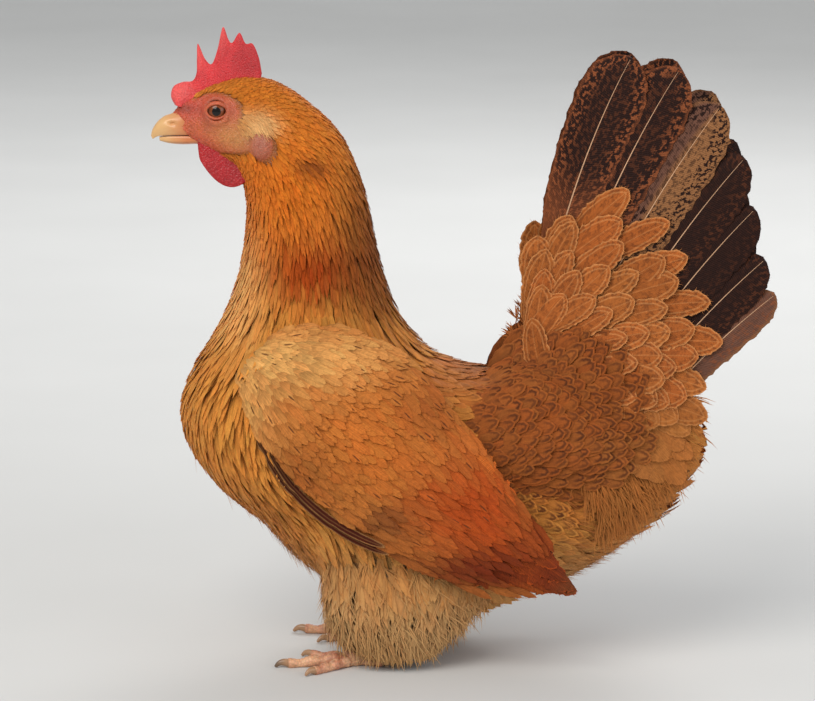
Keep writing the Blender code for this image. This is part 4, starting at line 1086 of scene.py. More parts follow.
def put_shell(name, top, low, finish, turned, ground):
    """A closed shell between two grids of points of one shape, its faces turned over if turned is below 0."""
    rows, columns = top.shape[:2]
    upper = grid_faces(rows, columns, closed=False)
    lower = upper[:, ::-1] + rows * columns
    rim = np.concatenate((
        np.arange(columns), np.arange(1, rows) * columns + columns - 1,
        (rows - 1) * columns + np.arange(columns - 2, -1, -1), np.arange(rows - 2, 0, -1) * columns,
    ))
    ahead = np.roll(rim, -1)
    wall = np.stack((ahead, rim, rim + rows * columns, ahead + rows * columns), -1)
    faces = [upper, lower, wall]
    if turned < 0:
        faces = [f[:, ::-1] for f in faces]
    points = np.concatenate((top.reshape(-1, 3), low.reshape(-1, 3)))
    ground = np.tile(np.broadcast_to(ground, top.shape).reshape(-1, 3), (2, 1))
    return put_mesh(name, points, faces, finish, {"ground": ground}, crease=60)


def headed(surface, root, tip):
    """Direction and length in space from one place of a surface to another."""
    start, end = surface.place(*root), surface.place(*tip)
    return unit(end - start), np.linalg.norm(end - start, axis=-1)


def lay_primaries(coat, surface, hand, rng):
    """Long narrow feathers stacked along the lower edge, each with a pale rim beside its dark vane."""
    count = len(PRIMARIES)
    roots, tips = PRIMARIES[:, 0:2].T, PRIMARIES[:, 2:4].T
    ahead, length = headed(surface, roots, tips)
    centres, patch = cells(count)
    dark = COLOURS["wing_deep"] * 0.45
    high = PRIMARIES[:, 4]
    grow(
        coat, surface, roots, ahead, LARGE, rng, length * 1.04, 4.0, (high - 1.0, high + 0.2), dark,
        COLOURS["rear_pale"] * 0.9, dark, centres * (1, PRIMARY_BAND), tilt=0.4 * hand, bow=-0.85 * hand,
        fray=0.02, patch=patch * (1, PRIMARY_BAND), depth=0.3,
    )


def lay_secondaries(coat, surface, hand, rng):
    """Broad feathers from mid wing to its rear edge, each over the one below it, with frayed rusty tips."""
    tips = SECONDARY_TIPS.T
    count = len(SECONDARY_TIPS)
    roots = (np.full(count, 0.30) + 0.04 * rng.random(count), np.linspace(0.80, -0.80, count))
    ahead, length = headed(surface, roots, tips)
    start, end = surface.place(*roots)[:, None], surface.place(*tips)[:, None]
    place = start + (end - start) * LARGE.rims[:, None]
    ground = painted(place[..., 0], place[..., 2], "wing_orange", WING_STROKES)
    ground = ground * (0.92 + 0.16 * rng.random((count, 1, 1)))
    centres, patch = cells(count)
    grow(
        coat, surface, roots, ahead, LARGE, rng, length, 14.2, (-0.4, 1.9 - 0.10 * np.arange(count)),
        ground[:, :, None], ground[:, 30] * 1.12, COLOURS["dark"],
        centres * (1, SECONDARY_BAND) + (0, SECONDARY_LOW), tilt=0.8 * hand, bow=-0.10 * hand, fray=0.24,
        patch=patch * (1, SECONDARY_BAND), depth=0.3, fringe=3.0,
    )


def lay_wing_coverts(coat, surface, low, high, rng):
    """Coverts over the shoulder and down the wing between two shares, longer rearwards, a few with flecks."""

    def density(share, across, point):
        size = np.interp(share, WING_SIZES["share"], WING_SIZES["length"])
        size = size * np.interp(share, WING_SIZES["share"], WING_SIZES["width"])
        beside = (across > -0.82) | (share < 0.11) | (share > 0.45)
        return 6.0 / size * beside * (1 - 0.9 * ease(share - 0.06 * across, 0.62, 0.80))

    share, across = sow(surface, ((low, high), (-0.97, 0.97)), density, cells=(60, 60))
    count = len(share)
    _, ahead, up, _ = surface.axes(share, across)
    ahead = unit(unit(ahead) + unit(up) * (0.16 * (rng.random(count) - 0.5))[:, None])
    long, wide = (np.interp(share, WING_SIZES["share"], WING_SIZES[name]) for name in ("length", "width"))
    size = 0.85 + 0.3 * rng.random(count)
    tip = surface.place(share + long / WING_LENGTH, across)
    ground = varied(painted(tip[:, 0], tip[:, 2], "bow", WING_STROKES), rng, 0.07, 0.06)
    high = dome(share + 0.5 * long / WING_LENGTH, across) + 0.4 + 0.3 * rng.random(count)
    flecked = 0.85 * (rng.random(count) < 0.13) * (share < 0.6)
    grow(
        coat, surface, (share, across), ahead, FAIR, rng, long * size, wide * size, (high - 1.4, high),
        ground, ground * 1.10, COLOURS["dark"], in_map(share, across * 0.5 + 0.5, 0.02), marked=flecked,
        fray=0.2, bow=0.4 * (rng.random(count) - 0.5), camber=0.04, depth=0.15, fringe=2.2,
    )


# Tail coverts: how far their fan reaches at angles from the level, how far the feathers turn back from the
# direction of their tips' places, and the tiers from the rim inwards: reach as a share, count, length, width
# and height.
FAN_REACH = ((-40.0, -28.0, -5.0, 7.0, 23.0, 39.0, 66.0, 78.0, 88.0, 100.0),
             (70.0, 72.0, 73.0, 72.0, 84.0, 88.0, 106.0, 99.0, 90.0, 78.0))
FAN_TWIST = ((-35.0, 0.0, 25.0, 45.0, 65.0, 80.0, 95.0), (12.0, 14.0, 21.0, 20.0, 28.0, 25.0, 6.0))
COVERT_TIERS = (
    (1.00, 11, 44.0, 17.0, 1.6), (0.89, 11, 43.0, 17.0, 2.5), (0.77, 11, 41.0, 16.5, 3.5),
    (0.65, 11, 38.0, 15.5, 4.6), (0.53, 10, 33.0, 14.5, 5.8),
)
# Main tail feathers, front one first: ground, rim colour, mottling, rust at the root, share under the bed.
MAIN_LOOKS = (
    ("tail_dark", "tail_rust", 0.9, 0.7, 0.24),
    ("tail_dark", "tail_rust", 0.8, 0.7, 0.14),
    ("tail_pale", "tail_pale", 2.4, 0.0, 0.0),
    ("tail_dark", "tail_dark", 0.2, 0.0, 0.0),
    ("tail_dark", "tail_dark", 0.1, 0.0, 0.0),
    ("tail_dark", "tail_dark", 0.2, 0.3, 0.0),
    ("tail_mauve", "tail_pale", 0.5, 0.3, 0.0),
)
# The pale main feather with dark mottling and a plain front vane.
PALE_FEATHER = 2


def make_tail(label, side, relief, finishes, rng):
    """One side of the tail: bed, main feathers with quills, tiers of coverts, saddle feathers and down."""
    surface = beside(relief, side)
    hand = -side
    make_tail_bed(label, surface, finishes["bed"])
    fan = Coat()
    middle = lay_main_feathers(fan, surface, hand, rng)
    fan.make("tail_fan_" + label, finishes["tail"], ("tail_" + label,))
    make_quills("tail_quills_" + label, middle, side, finishes["quill"])
    coverts = Coat()
    for tier in COVERT_TIERS:
        lay_coverts(coverts, surface, hand, *tier, rng)
    coverts.make("tail_coverts_" + label, finishes["covert"], ("tail_" + label,))
    saddle = Coat()
    lay_saddle(saddle, surface, rng)
    saddle.make("saddle_" + label, finishes["saddle"], ("tail_" + label,))
    down = Coat()
    lay_tail_down(down, surface, rng)
    inner = Surface(lambda x, z: surface.place(x, z) - (0.0, 4.5 * side, 0.0), surface.steps, side)
    lay_inner_down(down, inner, rng)
    down.make("down_tail_" + label, finishes["down"])


def lay_main_feathers(coat, surface, hand, rng):
    """The fan of main feathers, rusty near their roots, the pale one with a plain front vane."""
    ground, rim = (np.array([COLOURS[look[k]] for look in MAIN_LOOKS]) for k in (0, 1))
    mottling, rusty, hidden = (np.array([look[k] for look in MAIN_LOOKS]) for k in (2, 3, 4))
    tip = MAIN_TAIL[:, 2:4]
    root = MAIN_TAIL[:, 0:2] + (tip - MAIN_TAIL[:, 0:2]) * hidden[:, None]
    ahead, length = headed(surface, root.T, tip.T)
    centres, patch = cells(len(MAIN_TAIL))
    pale = np.arange(len(MAIN_TAIL)) == PALE_FEATHER
    front = (LARGE.across * hand < 0)[None, None, :, None] & pale[:, None, None, None]
    ground = np.where(front, COLOURS["tail_mauve"], ground[:, None, None])
    warm = (rusty[:, None] * (1 - ease(LARGE.barbs, 0.15, 0.5)))[..., None, None]
    ground = ground * (1 - warm) + COLOURS["tail_rust"] * warm
    flecks = np.where(pale[:, None], COLOURS["tail_dark"], COLOURS["tail_rust"])
    return grow(
        coat, surface, root.T, ahead, LARGE, rng, length * 1.01, MAIN_TAIL[:, 4], (-1.2, 0.6), ground, rim,
        flecks, centres, marked=mottling, tilt=1.3 * hand, bow=0.26 * hand, fray=0.05, patch=patch,
        depth=0.45, root_shade=1.0, fringe=0.9,
    )


def fan_spot(angle, reach):
    """Side-view x and z at an angle from the level and a distance from the centre of the fan of coverts."""
    turn = np.radians(angle)
    return COVERT_FAN[0] + reach * np.cos(turn), COVERT_FAN[1] + reach * np.sin(turn)


def fan_place(x, z):
    """Angle and distance in the fan of coverts at a place in side view."""
    off_x, off_z = x - COVERT_FAN[0], z - COVERT_FAN[1]
    return np.degrees(np.arctan2(off_z, off_x)), np.hypot(off_x, off_z)


def make_tail_bed(label, surface, finish):
    """A closed pad over the tail's root, highest at the fan's centre."""
    angle, reach = grid(np.linspace(86, -36, 40), np.linspace(0.5, 52, 24))
    x, z = fan_spot(angle, reach)
    top = surface.raised(x, z, 8.5 * (1 - ease(reach, 6, 50)) - 1.2)
    low = surface.raised(x, z, np.full(x.shape, -4.0))
    # The pad takes the coverts' colour darkened to 0.6: painted shade for the gaps between the feathers.
    put_shell("tail_bed_" + label, top, low, finish, surface.side, COLOURS["covert"] * 0.6)


def lay_coverts(coat, surface, hand, share, count, length, width, height, rng):
    """One tier of rounded, laced tail coverts: tips spread round the fan, each turned back from its ray."""
    angle = np.linspace(96.0, -34.0, count) + rng.random() * 8 - 4 + (rng.random(count) - 0.5) * 7
    reach = np.interp(angle, *FAN_REACH) * share * (0.95 + 0.1 * rng.random(count))
    turn = np.radians(angle - np.interp(angle, *FAN_TWIST) + (rng.random(count) - 0.5) * 12)
    tips = np.stack(fan_spot(angle, reach))
    roots = tips - length * np.stack((np.cos(turn), np.sin(turn)))
    ahead, length = headed(surface, roots, tips)
    fade = ease(-angle, -8.0, 22.0)[:, None]
    lace = COLOURS["lace"] * (1 - fade) + COLOURS["rear"] * fade
    ground = varied(COLOURS["covert"] * (1 - fade) + COLOURS["rear"] * fade, rng, 0.10, 0.06)
    bake = np.stack(((angle + 60) / 180, share + 0 * angle), -1) * 0.94 + 0.02
    height = (height + 0.8 * rng.random(count)) * (1 - 0.5 * fade[:, 0])
    grow(
        coat, surface, roots, ahead, MIDDLE, rng, length, width * (0.85 + 0.3 * rng.random(count)),
        (height - 1.2, height + 1.0), ground, lace, COLOURS["dark"], bake, marked=0.9 - 0.6 * fade[:, 0],
        tilt=0.4 * hand, bow=hand * (0.22 + 0.3 * (rng.random(count) - 0.5)), camber=0.05, patch=0.05,
        depth=0.3, fringe=2.0,
    )


def sow_box(surface, x_span, z_span, density):
    """Roots spread over a box in side view, with their places in the piece's map."""
    x, z = sow(surface, (x_span, z_span), density, cells=(60, 60))
    shares = ((v - low) / (high - low) for v, (low, high) in ((x, x_span), (z, z_span)))
    return x, z, in_map(*shares)


def lay_tail_down(coat, surface, rng):
    """Loose down over the lower rear of the fan of coverts, flowing outwards and down."""

    def density(x, z, point):
        angle, reach = fan_place(x, z)
        ring = ease(reach, 26.0, 40.0) * (1 - ease(reach, 60.0, 66.0))
        return 0.10 * ease(-angle, -18.0, 4.0) * ring * (angle > -70)

    x, z, bake = sow_box(surface, (52.0, 112.0), (60.0, 136.0), density)
    ahead = side_on(np.radians(fan_place(x, z)[0] - 6.0 + 30.0 * (rng.random(len(x)) - 0.5)))
    ground = varied(painted(x, z, "rear", BODY_STROKES), rng)
    blades(coat, surface, (x, z), ahead, rng, 12.0, 0.5, ground, bake,
           each=6, lift=0.12, droop=0.25, start=0.5)


def lay_inner_down(coat, surface, rng):
    """Down over the inner side of a half of the tail, seen from behind."""

    def density(x, z, point):
        return 0.05 * (fan_place(x, z)[1] < 50) * (x > 18 + 0.3 * (z - 150))

    x, z, bake = sow_box(surface, (20.0, 106.0), (76.0, 190.0), density)
    ahead = side_on(np.radians(fan_place(x, z)[0]) + 0.4 * (rng.random(len(x)) - 0.5))
    ground = varied(painted(x, z, "back", BODY_STROKES), rng)
    blades(coat, surface, (x, z), ahead, rng, 8.0, 0.6, ground, bake, each=5, spread=0.6, lift=0.1, start=0.0)


def lay_saddle(coat, surface, rng):
    """Ringed saddle feathers over the roots of the tail coverts, turning upwards towards the tail's front."""

    def density(x, z, point):
        inside = np.hypot((x - 30.0) / 43.0, (z - 122.0) / 40.0) < 1
        return 0.065 * inside * (z < 144.0 + 0.55 * (x - 8.0))

    def mound(x, z):
        """How high the feathers stand: most over the fan's centre, and buried in the back and the flank."""
        buried = 1 - ease(x, -10.0, 24.0) * ease(z, 82.0, 106.0)
        return 7.2 * (1 - ease(np.hypot(x - 44.0, z - 128.0), 8, 44)) - 5.5 * buried + 1.2

    x, z, bake = sow_box(surface, (-12.0, 74.0), (80.0, 164.0), density)
    count = len(x)
    angle = -8.0 + 0.95 * (z - 96.0) - 0.12 * (x - 34.0) + 14.0 * (rng.random(count) - 0.5)
    ahead = side_on(np.radians(angle))
    ground = varied(painted(x, z, "saddle", BODY_STROKES), rng, 0.12, 0.07)
    size = 0.85 + 0.3 * rng.random(count)
    tip_x, tip_z = x + ahead[:, 0] * 16.0, z + ahead[:, 2] * 16.0
    high = np.maximum(mound(tip_x, tip_z), mound(x, z)) + 1.0 + 0.8 * rng.random(count)
    grow(
        coat, surface, (x, z), ahead, SMALL, rng, 18.0 * size, 8.0 * size, (mound(x, z) - 3.0, high), ground,
        ground * 1.14, COLOURS["dark"], bake, marked=0.5 + 0.5 * rng.random(count), fray=0.14,
        bow=0.3 * (rng.random(count) - 0.5), fringe=1.2,
    )


def make_quills(name, middle, side, finish):
    """A tapering shaft along the middle of each main feather, half sunk in its vane."""
    count, rows = middle.shape[:2]
    ahead = unit(np.gradient(middle, axis=1))
    out = np.array((0.0, side, 0.0))
    flat = unit(np.cross(ahead, out))
    turn = turns(6)[:, None]
    radius = 0.8 * np.linspace(0.62, 0.10, rows)[None, :, None, None]
    points = middle[:, :, None] + radius * (flat[:, :, None] * np.cos(turn) + out * np.sin(turn))
    points = points[:, ::2]
    faces = repeated(tube_faces(points.shape[1], 6), count, points.shape[1] * 6)
    put_mesh(name, points.reshape(-1, 3), faces, finish)


# Comb: base x, then edge x, z; points and notches take turns, front to back.
COMB_EDGE = np.array([
    (-134.5, -138.6, 268.6), (-134.0, -140.3, 272.6), (-133.5, -139.0, 277.2), (-132.5, -134.6, 279.4),
    (-131.0, -130.0, 280.0), (-128.8, -128.0, 284.0), (-127.0, -127.8, 291.0), (-125.5, -127.2, 297.6),
    (-123.0, -124.0, 290.5), (-120.5, -120.8, 288.0), (-118.5, -118.0, 295.0), (-116.5, -115.4, 305.4),
    (-114.0, -112.9, 299.6), (-111.5, -111.0, 298.0), (-109.0, -107.6, 302.6), (-106.0, -104.8, 297.6),
    (-103.5, -101.4, 297.4), (-100.5, -98.6, 291.0), (-98.5, -97.2, 283.4),
])
COMB_STROKES = (
    (-136.0, 274.0, 7.0, 8.0, "comb_coral", 0.9),
    (-126.0, 294.0, 4.0, 8.0, "comb_coral", 0.7),
    (-116.0, 302.0, 4.0, 8.0, "comb_coral", 0.6),
    (-104.0, 288.0, 9.0, 12.0, "comb_deep", 0.8),
)
WATTLE_STROKES = ((-118.0, 236.0, 14.0, 10.0, "comb_deep", 0.8),)


def ridge_height(x):
    """Height of the head's top line at x."""
    backs = along(BODY, np.linspace(0, HEAD_END, 80))[:, 0:2]
    return np.interp(x, backs[:, 0], backs[:, 1])


def make_comb(finish):
    """A fleshy blade: a grid from base to edge, rounded over it, thickest at its base and front knob."""
    line = along(COMB_EDGE, np.linspace(0, len(COMB_EDGE) - 1, 200))
    share = np.sin(np.linspace(0, math.pi / 2, 26))
    knob = ease(-line[:, 0], 129.0, 133.5)
    base_z = (ridge_height(line[:, 0]) - 4.0) * (1 - knob) + 267.4 * knob
    x = line[:, None, 0] + (line[:, None, 1] - line[:, None, 0]) * share
    z = base_z[:, None] + (line[:, None, 2] - 0.3 - base_z[:, None]) * share
    half = 2.3 * (1 - 0.72 * share**1.2) * np.sqrt(np.clip(1 - share**6, 0, 1))
    front = ease(-x, 128.0, 136.0)
    half = half + 2.0 * front * np.sqrt(np.clip(1 - share**4, 0, 1)) + 0.25 * (1 - share)
    half = half * (1 - 0.6 * knob[:, None] * (1 - share) ** 3)
    ripple = 0.16 * np.sin(x * 1.9 + 2.0 * np.sin(z * 0.8)) * np.sin(z * 1.5 + x * 0.4) * (1 - share**3)
    left, right = (np.stack((x, s * (half + ripple) + 0.5 * np.sin(x * 0.16), z), -1) for s in (-1, 1))
    ground = painted(x, z, "comb_red", COMB_STROKES)
    blade = put_shell("comb_blade", left, right, finish, -1.0, ground)
    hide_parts("comb")


# Wattle: front and back of its root in side view, drop, distance from the middle, half thickness, lean.
WATTLE = {
    "front": (-128.0, 251.5), "back": (-106.5, 244.5), "drop": 18.0, "y": 4.6, "half": 1.9, "lean": 0.16,
}


def make_wattle(label, side, finish):
    """A hanging lobe: a grid across and down, thickest in its middle, rounded at its rim, slightly folded."""
    u, v = grid(np.linspace(0, 1, 60), np.linspace(0, 1, 44))
    top = [WATTLE["front"][k] + (WATTLE["back"][k] - WATTLE["front"][k]) * u for k in (0, 1)]
    deep = WATTLE["drop"] * np.sin(math.pi * (0.14 + 0.76 * u)) ** 0.8
    down = -3.5 + (deep + 3.5) * np.sin(v * math.pi / 2)
    x = top[0] + 7.0 * v * (u - 0.25) * (1 - 0.35 * v) + 3.0 * v
    rim = np.sqrt(np.clip(1 - np.abs(2 * u - 1) ** 5, 0, 1)) * np.sqrt(np.clip(1 - v**5, 0, 1))
    fold = 0.7 * np.sin(7.0 * u + 2.0 * v) * v
    grain = 0.12 * np.sin(x * 2.3 + np.sin(down * 1.1)) * np.sin(down * 2.0)
    middle = WATTLE["y"] + WATTLE["lean"] * np.maximum(down, 0.0) + fold
    half = WATTLE["half"] * (1 - 0.35 * v) * rim + grain * rim
    outer, inner = (np.stack((x, side * (middle + s * half), top[1] - down), -1) for s in (1, -1))
    ground = painted(x, top[1] - down, "wattle_red", WATTLE_STROKES)
    lobe = put_shell("wattle_lobe_" + label, outer, inner, finish, side, ground)
    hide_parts("wattle_" + label)


# Slices of the bill's halves from the face to the tip: upper x, z, lower x, z, and half the width.
BILL_TOP = np.array([
    (-138.0, 265.4, -127.0, 254.6, 6.2),
    (-140.3, 264.0, -130.2, 254.4, 5.7),
    (-143.6, 262.8, -136.0, 254.3, 5.0),
    (-146.8, 260.2, -142.0, 254.0, 3.8),
    (-149.2, 256.6, -146.6, 253.4, 2.2),
    (-150.0, 253.6, -149.2, 251.9, 0.7),
])
BILL_LOW = np.array([
    (-127.0, 254.2, -126.4, 249.4, 5.6),
    (-129.9, 253.9, -129.2, 249.6, 5.1),
    (-135.0, 253.8, -134.6, 249.4, 4.5),
    (-141.0, 253.5, -140.8, 249.8, 3.3),
    (-146.0, 252.9, -145.8, 251.0, 1.3),
])
NOSTRIL = (-139.6, 259.8)
NOSTRIL_REACH = (1.9, 0.9)


def make_bill(name, table, level, finish):
    """One half of the bill: D-shaped rings through a table of slices, flat on the side of the mouth.

    level is -1 for the upper half, with a slit pressed in at each nostril, and 1 for the lower one.
    """
    t, turn = grid(np.linspace(0, len(table) - 1, 70), turns(48))
    row = along(table, t)
    up, out = np.cos(turn), np.sin(turn)
    flat = up * level > 0
    squared = np.where(flat, level * np.minimum(1.0, 2.4 * np.abs(up)), up)
    middle, reach = (row[..., 0:2] + row[..., 2:4]) / 2, (row[..., 0:2] - row[..., 2:4]) / 2
    spot = middle + reach * squared[..., None]
    half = row[..., 4] * np.sign(out) * np.abs(out) ** (1.15 if level < 0 else 1.0)
    if level < 0:
        off = (spot - NOSTRIL) / NOSTRIL_REACH
        near = np.exp(-(off[..., 0] ** 2) - off[..., 1] ** 2)
        half = half - np.sign(out) * near * 1.6
    points = np.stack((spot[..., 0], half, spot[..., 1]), -1)
    put_mesh(name, points.reshape(-1, 3), tube_faces(*t.shape), finish,
             replaces=(name.replace("_horn", ""),), crease=50)


def ball(centre, radius, rows, columns, out=1.0):
    """A ball with its poles along Y: rows run from the outer pole to the inner one."""
    tilt, turn = grid(np.linspace(0, math.pi, rows + 2)[1:-1], turns(columns))
    offset = np.stack((np.sin(tilt) * np.cos(turn), out * np.cos(tilt), np.sin(tilt) * np.sin(turn)), -1)
    return np.array(centre) + offset * radius, tilt, turn


def make_eye(label, side, finishes):
    """An eyeball whose pupil and iris are rings of colour round its outer pole, with its lids."""
    centre = EYE * (1, side, 1)
    points, tilt, turn = ball(centre, EYE_RADIUS, 40, 48, side)
    faces = tube_faces(*tilt.shape)
    faces = faces if side < 0 else [f[:, ::-1] for f in faces]
    from_pole = np.degrees(tilt)
    streak = 0.85 + 0.3 * np.sin(turn * 23) * np.sin(turn * 7 + 1)
    iris = COLOURS["iris"] * (streak * (1.15 - 0.5 * ease(from_pole, PUPIL + 2, IRIS - 2)))[..., None]
    colour = np.where(from_pole[..., None] < PUPIL, COLOURS["pupil"], iris)
    colour = np.where(from_pole[..., None] > IRIS, COLOURS["eye_rim"], colour)
    put_mesh("eyeball_" + label, points.reshape(-1, 3), faces, finishes["eye"],
             {"ground": colour}, replaces=("eye_" + label,))
    make_lids(label, side, finishes["face"])


def make_lids(label, side, finish):
    """Two lids as one ring on the eyeball: longer than high, thicker above, and creased across."""
    rows, columns = 72, 14
    turn, roll = grid(turns(rows), turns(columns))
    long, high = 4.25 + 0.35 * np.abs(np.cos(turn)) ** 3, 3.25 + 0.15 * np.sin(turn)
    reach = np.hypot(np.cos(turn) * long, np.sin(turn) * high)
    wire = 0.78 + 0.22 * np.maximum(np.sin(turn), 0) + 0.06 * np.sin(turn * 31) * np.cos(roll)
    ring = reach + wire * (np.cos(roll) + 0.55)
    depth = np.sqrt(np.maximum((EYE_RADIUS + 0.25) ** 2 - reach**2, 1.0)) - 0.9 * np.maximum(np.cos(roll), 0)
    depth = depth + wire * 0.75 * np.sin(roll)
    outward = np.stack((np.cos(turn) * long, np.zeros_like(turn), np.sin(turn) * high), -1) / reach[..., None]
    points = EYE * (1, side, 1) + outward * ring[..., None] + np.array((0.0, side, 0.0)) * depth[..., None]
    faces = grid_faces(rows + 1, columns) % (rows * columns)
    faces = faces if side > 0 else faces[:, ::-1]
    # Lighter on the ring's outward crest and darker where it turns in towards the eyeball and the skin:
    # painted shade.
    colour = COLOURS["face"] * (0.8 + 0.15 * np.sin(roll))[..., None]
    put_mesh("lids_" + label, points.reshape(-1, 3), [faces], finish, {"ground": colour})


def bar(route, radii, columns, narrowed=1.0, swell=None):
    """Rings of a bar carried along a route, with radii by row, narrowed sideways, swollen by row and turn."""
    ahead = unit(np.gradient(route, axis=0))
    aside = unit(np.cross(ahead, np.array((0.0, 0.0, 1.0))))
    up = np.cross(aside, ahead)
    turn = turns(columns)
    size = np.asarray(radii)[:, None] * np.ones(columns)
    if swell is not None:
        size = size + swell(np.linspace(0, 1, len(route))[:, None], turn[None])
    return (route[:, None] + aside[:, None] * (np.cos(turn) * size * narrowed)[..., None]
            + up[:, None] * (np.sin(turn) * size)[..., None])


def make_foot(label, side, finishes):
    """Toes with rows of scutes above and pads below, the short shank, and a curved claw on each toe."""
    back = FOOT_SET_BACK[label]
    hub = np.array((ANKLE[0] + back, side * LEG_Y, ANKLE[1]))
    points, faces, count = [], [], 0

    def add(rings):
        nonlocal count
        points.append(above(rings, 0.0).reshape(-1, 3))
        faces.extend(f + count for f in tube_faces(*rings.shape[:2]))
        count += len(points[-1])

    for toe, (turn, length, joints, radius, claw) in TOES.items():
        ahead = np.array((-math.cos(math.radians(turn)), side * math.sin(math.radians(turn)), 0.0))
        share = np.linspace(0, 1, 30 + 24 * joints)
        thick = radius * (1 - 0.30 * share) * (1 + 0.12 * np.cos(TURN * joints * share))
        route = hub + ahead * (length * share)[:, None]
        route[:, 2] = thick * 0.86 + 0.64 * np.sin(math.pi * share) * (1 - share)

        def swell(place, turn, length=length, radius=radius):
            upper = ease(np.sin(turn), 0.1, 0.6)
            scute = (place * length / SCUTE) % 1.0
            pads = np.sin(place * 90) * np.sin(turn * 9)
            return radius * (0.09 * upper * (scute**0.5 - 0.5) + 0.03 * (1 - upper) * pads)

        add(bar(route, thick, 22, swell=swell))
        make_claw(f"claw_{toe}_{label}", route[-1], ahead, radius * 0.62, claw, finishes["claw"])
    ball_points, _, _ = ball((hub[0] - 1.0, hub[1], 4.6), 5.4, 16, 20)
    add(ball_points)
    top = np.array((HOCK[0] + back, side * LEG_Y, HOCK[1]))
    share = np.linspace(0, 1, 40)[:, None]
    add(bar(top + (hub - top) * share, np.linspace(5.4, SHANK_RADIUS, 40), 20,
            swell=lambda place, turn: 0.3 * ((place * 9) % 1.0 - 0.5) * ease(np.sin(turn), 0.0, 0.5)))
    put_mesh("foot_skin_" + label, np.concatenate(points), faces, finishes["foot"],
             replaces=("foot_" + label, "shank_" + label))


def make_claw(name, end, ahead, root, length, finish):
    """A horny cone, narrower than high, that arches forward and down to the floor."""
    share = np.linspace(0, 1, 20)
    sunk, curl = 1.4, 1.25
    route = end + ahead * ((length + sunk) * np.sin(share * curl) / math.sin(curl) - sunk)[:, None]
    arch = 1.1 * np.sin(math.pi * np.minimum(share * 1.2, 1))
    route[:, 2] = root * 0.9 + arch - (root * 0.9 - 0.75) * share**2
    rings = above(bar(route, root * (1 - share) ** 0.7 + 0.3, 16, 0.85), 0.05)
    put_mesh(name + "_horn", rings.reshape(-1, 3), tube_faces(20, 16), finish, replaces=(name,))


class Graph:
    """Strings the nodes of one material together."""

    def __init__(self, name, **settings):
        """A new material whose shader has the settings, each named as its socket with _ for a space."""
        self.material = bpy.data.materials.new(name)
        self.material.use_nodes = True
        self.tree = self.material.node_tree
        self.shader = self.tree.nodes["Principled BSDF"]
        for label, value in settings.items():
            self.feed(self.shader.inputs[label.replace("_", " ")], value)

    def feed(self, socket, value):
        """Links a node's output to a socket, or sets the socket to a plain value."""
        if isinstance(value, bpy.types.NodeSocket):
            self.tree.links.new(value, socket)
        else:
            socket.default_value = value

    def node(self, kind, inputs, **settings):
        """Adds a node with its settings, feeds its inputs, and gives its outputs."""
        node = self.tree.nodes.new("ShaderNode" + kind)
        for label, value in settings.items():
            setattr(node, label, value)
        for label, value in inputs.items():
            self.feed(node.inputs[label], value)
        return node.outputs

    def math(self, operation, a, b=0.0, c=0.0):
        return self.node("Math", {0: a, 1: b, 2: c}, operation=operation)[0]

    def times(self, a, b):
        return self.math("MULTIPLY", a, b)

    def plus(self, a, b):
        return self.math("ADD", a, b)

    def mix(self, share, a, b):
        """Colour a turned into colour b by a share."""
        return self.node("Mix", {0: share, 6: a, 7: b}, data_type="RGBA")[2]

    def step(self, value, low, high):
        """0 below low, 1 above high and a smooth step between."""
        span = {"Value": value, "From Min": low, "From Max": high}
        return self.node("MapRange", span, interpolation_type="SMOOTHSTEP")["Result"]

    def outside(self, value, low, high):
        """1 below low, 0 above high and a smooth step between."""
        return self.math("SUBTRACT", 1.0, self.step(value, low, high))

    def centred(self, value, width):
        """A noise of 0 to 1 turned into one of width, from -width / 2 to width / 2."""
        return self.math("MULTIPLY_ADD", value, width, -width / 2)

    def attribute(self, name):
        return self.node("Attribute", {}, attribute_name=name)

    def split(self, vector):
        return self.node("SeparateXYZ", {0: vector})

    def scaled(self, vector, scale):
        return self.node("Mapping", {"Vector": vector, "Scale": scale})[0]

    def noise(self, vector, scale=1.0, detail=2.0, roughness=0.5):
        look = {"Vector": vector, "Scale": scale, "Detail": detail, "Roughness": roughness}
        return self.node("TexNoise", look)[0]

    def cells(self, vector, scale):
        """Distance from the middle of the nearest of many small cells."""
        return self.node("TexVoronoi", {"Vector": vector, "Scale": scale})["Distance"]

    def place(self):
        return self.node("TexCoord", {})["Object"]

    def scale_colour(self, colour, factor):
        return self.node("VectorMath", {0: colour, "Scale": factor}, operation="SCALE")[0]

    def paint(self, colour):
        self.feed(self.shader.inputs["Base Color"], colour)

    def bump(self, height, distance, strength=1.0):
        """Roughens the shader's normal by a height, over a distance in metres."""
        normal = self.node("Bump", {"Height": height, "Distance": distance, "Strength": strength})[0]
        self.feed(self.shader.inputs["Normal"], normal)


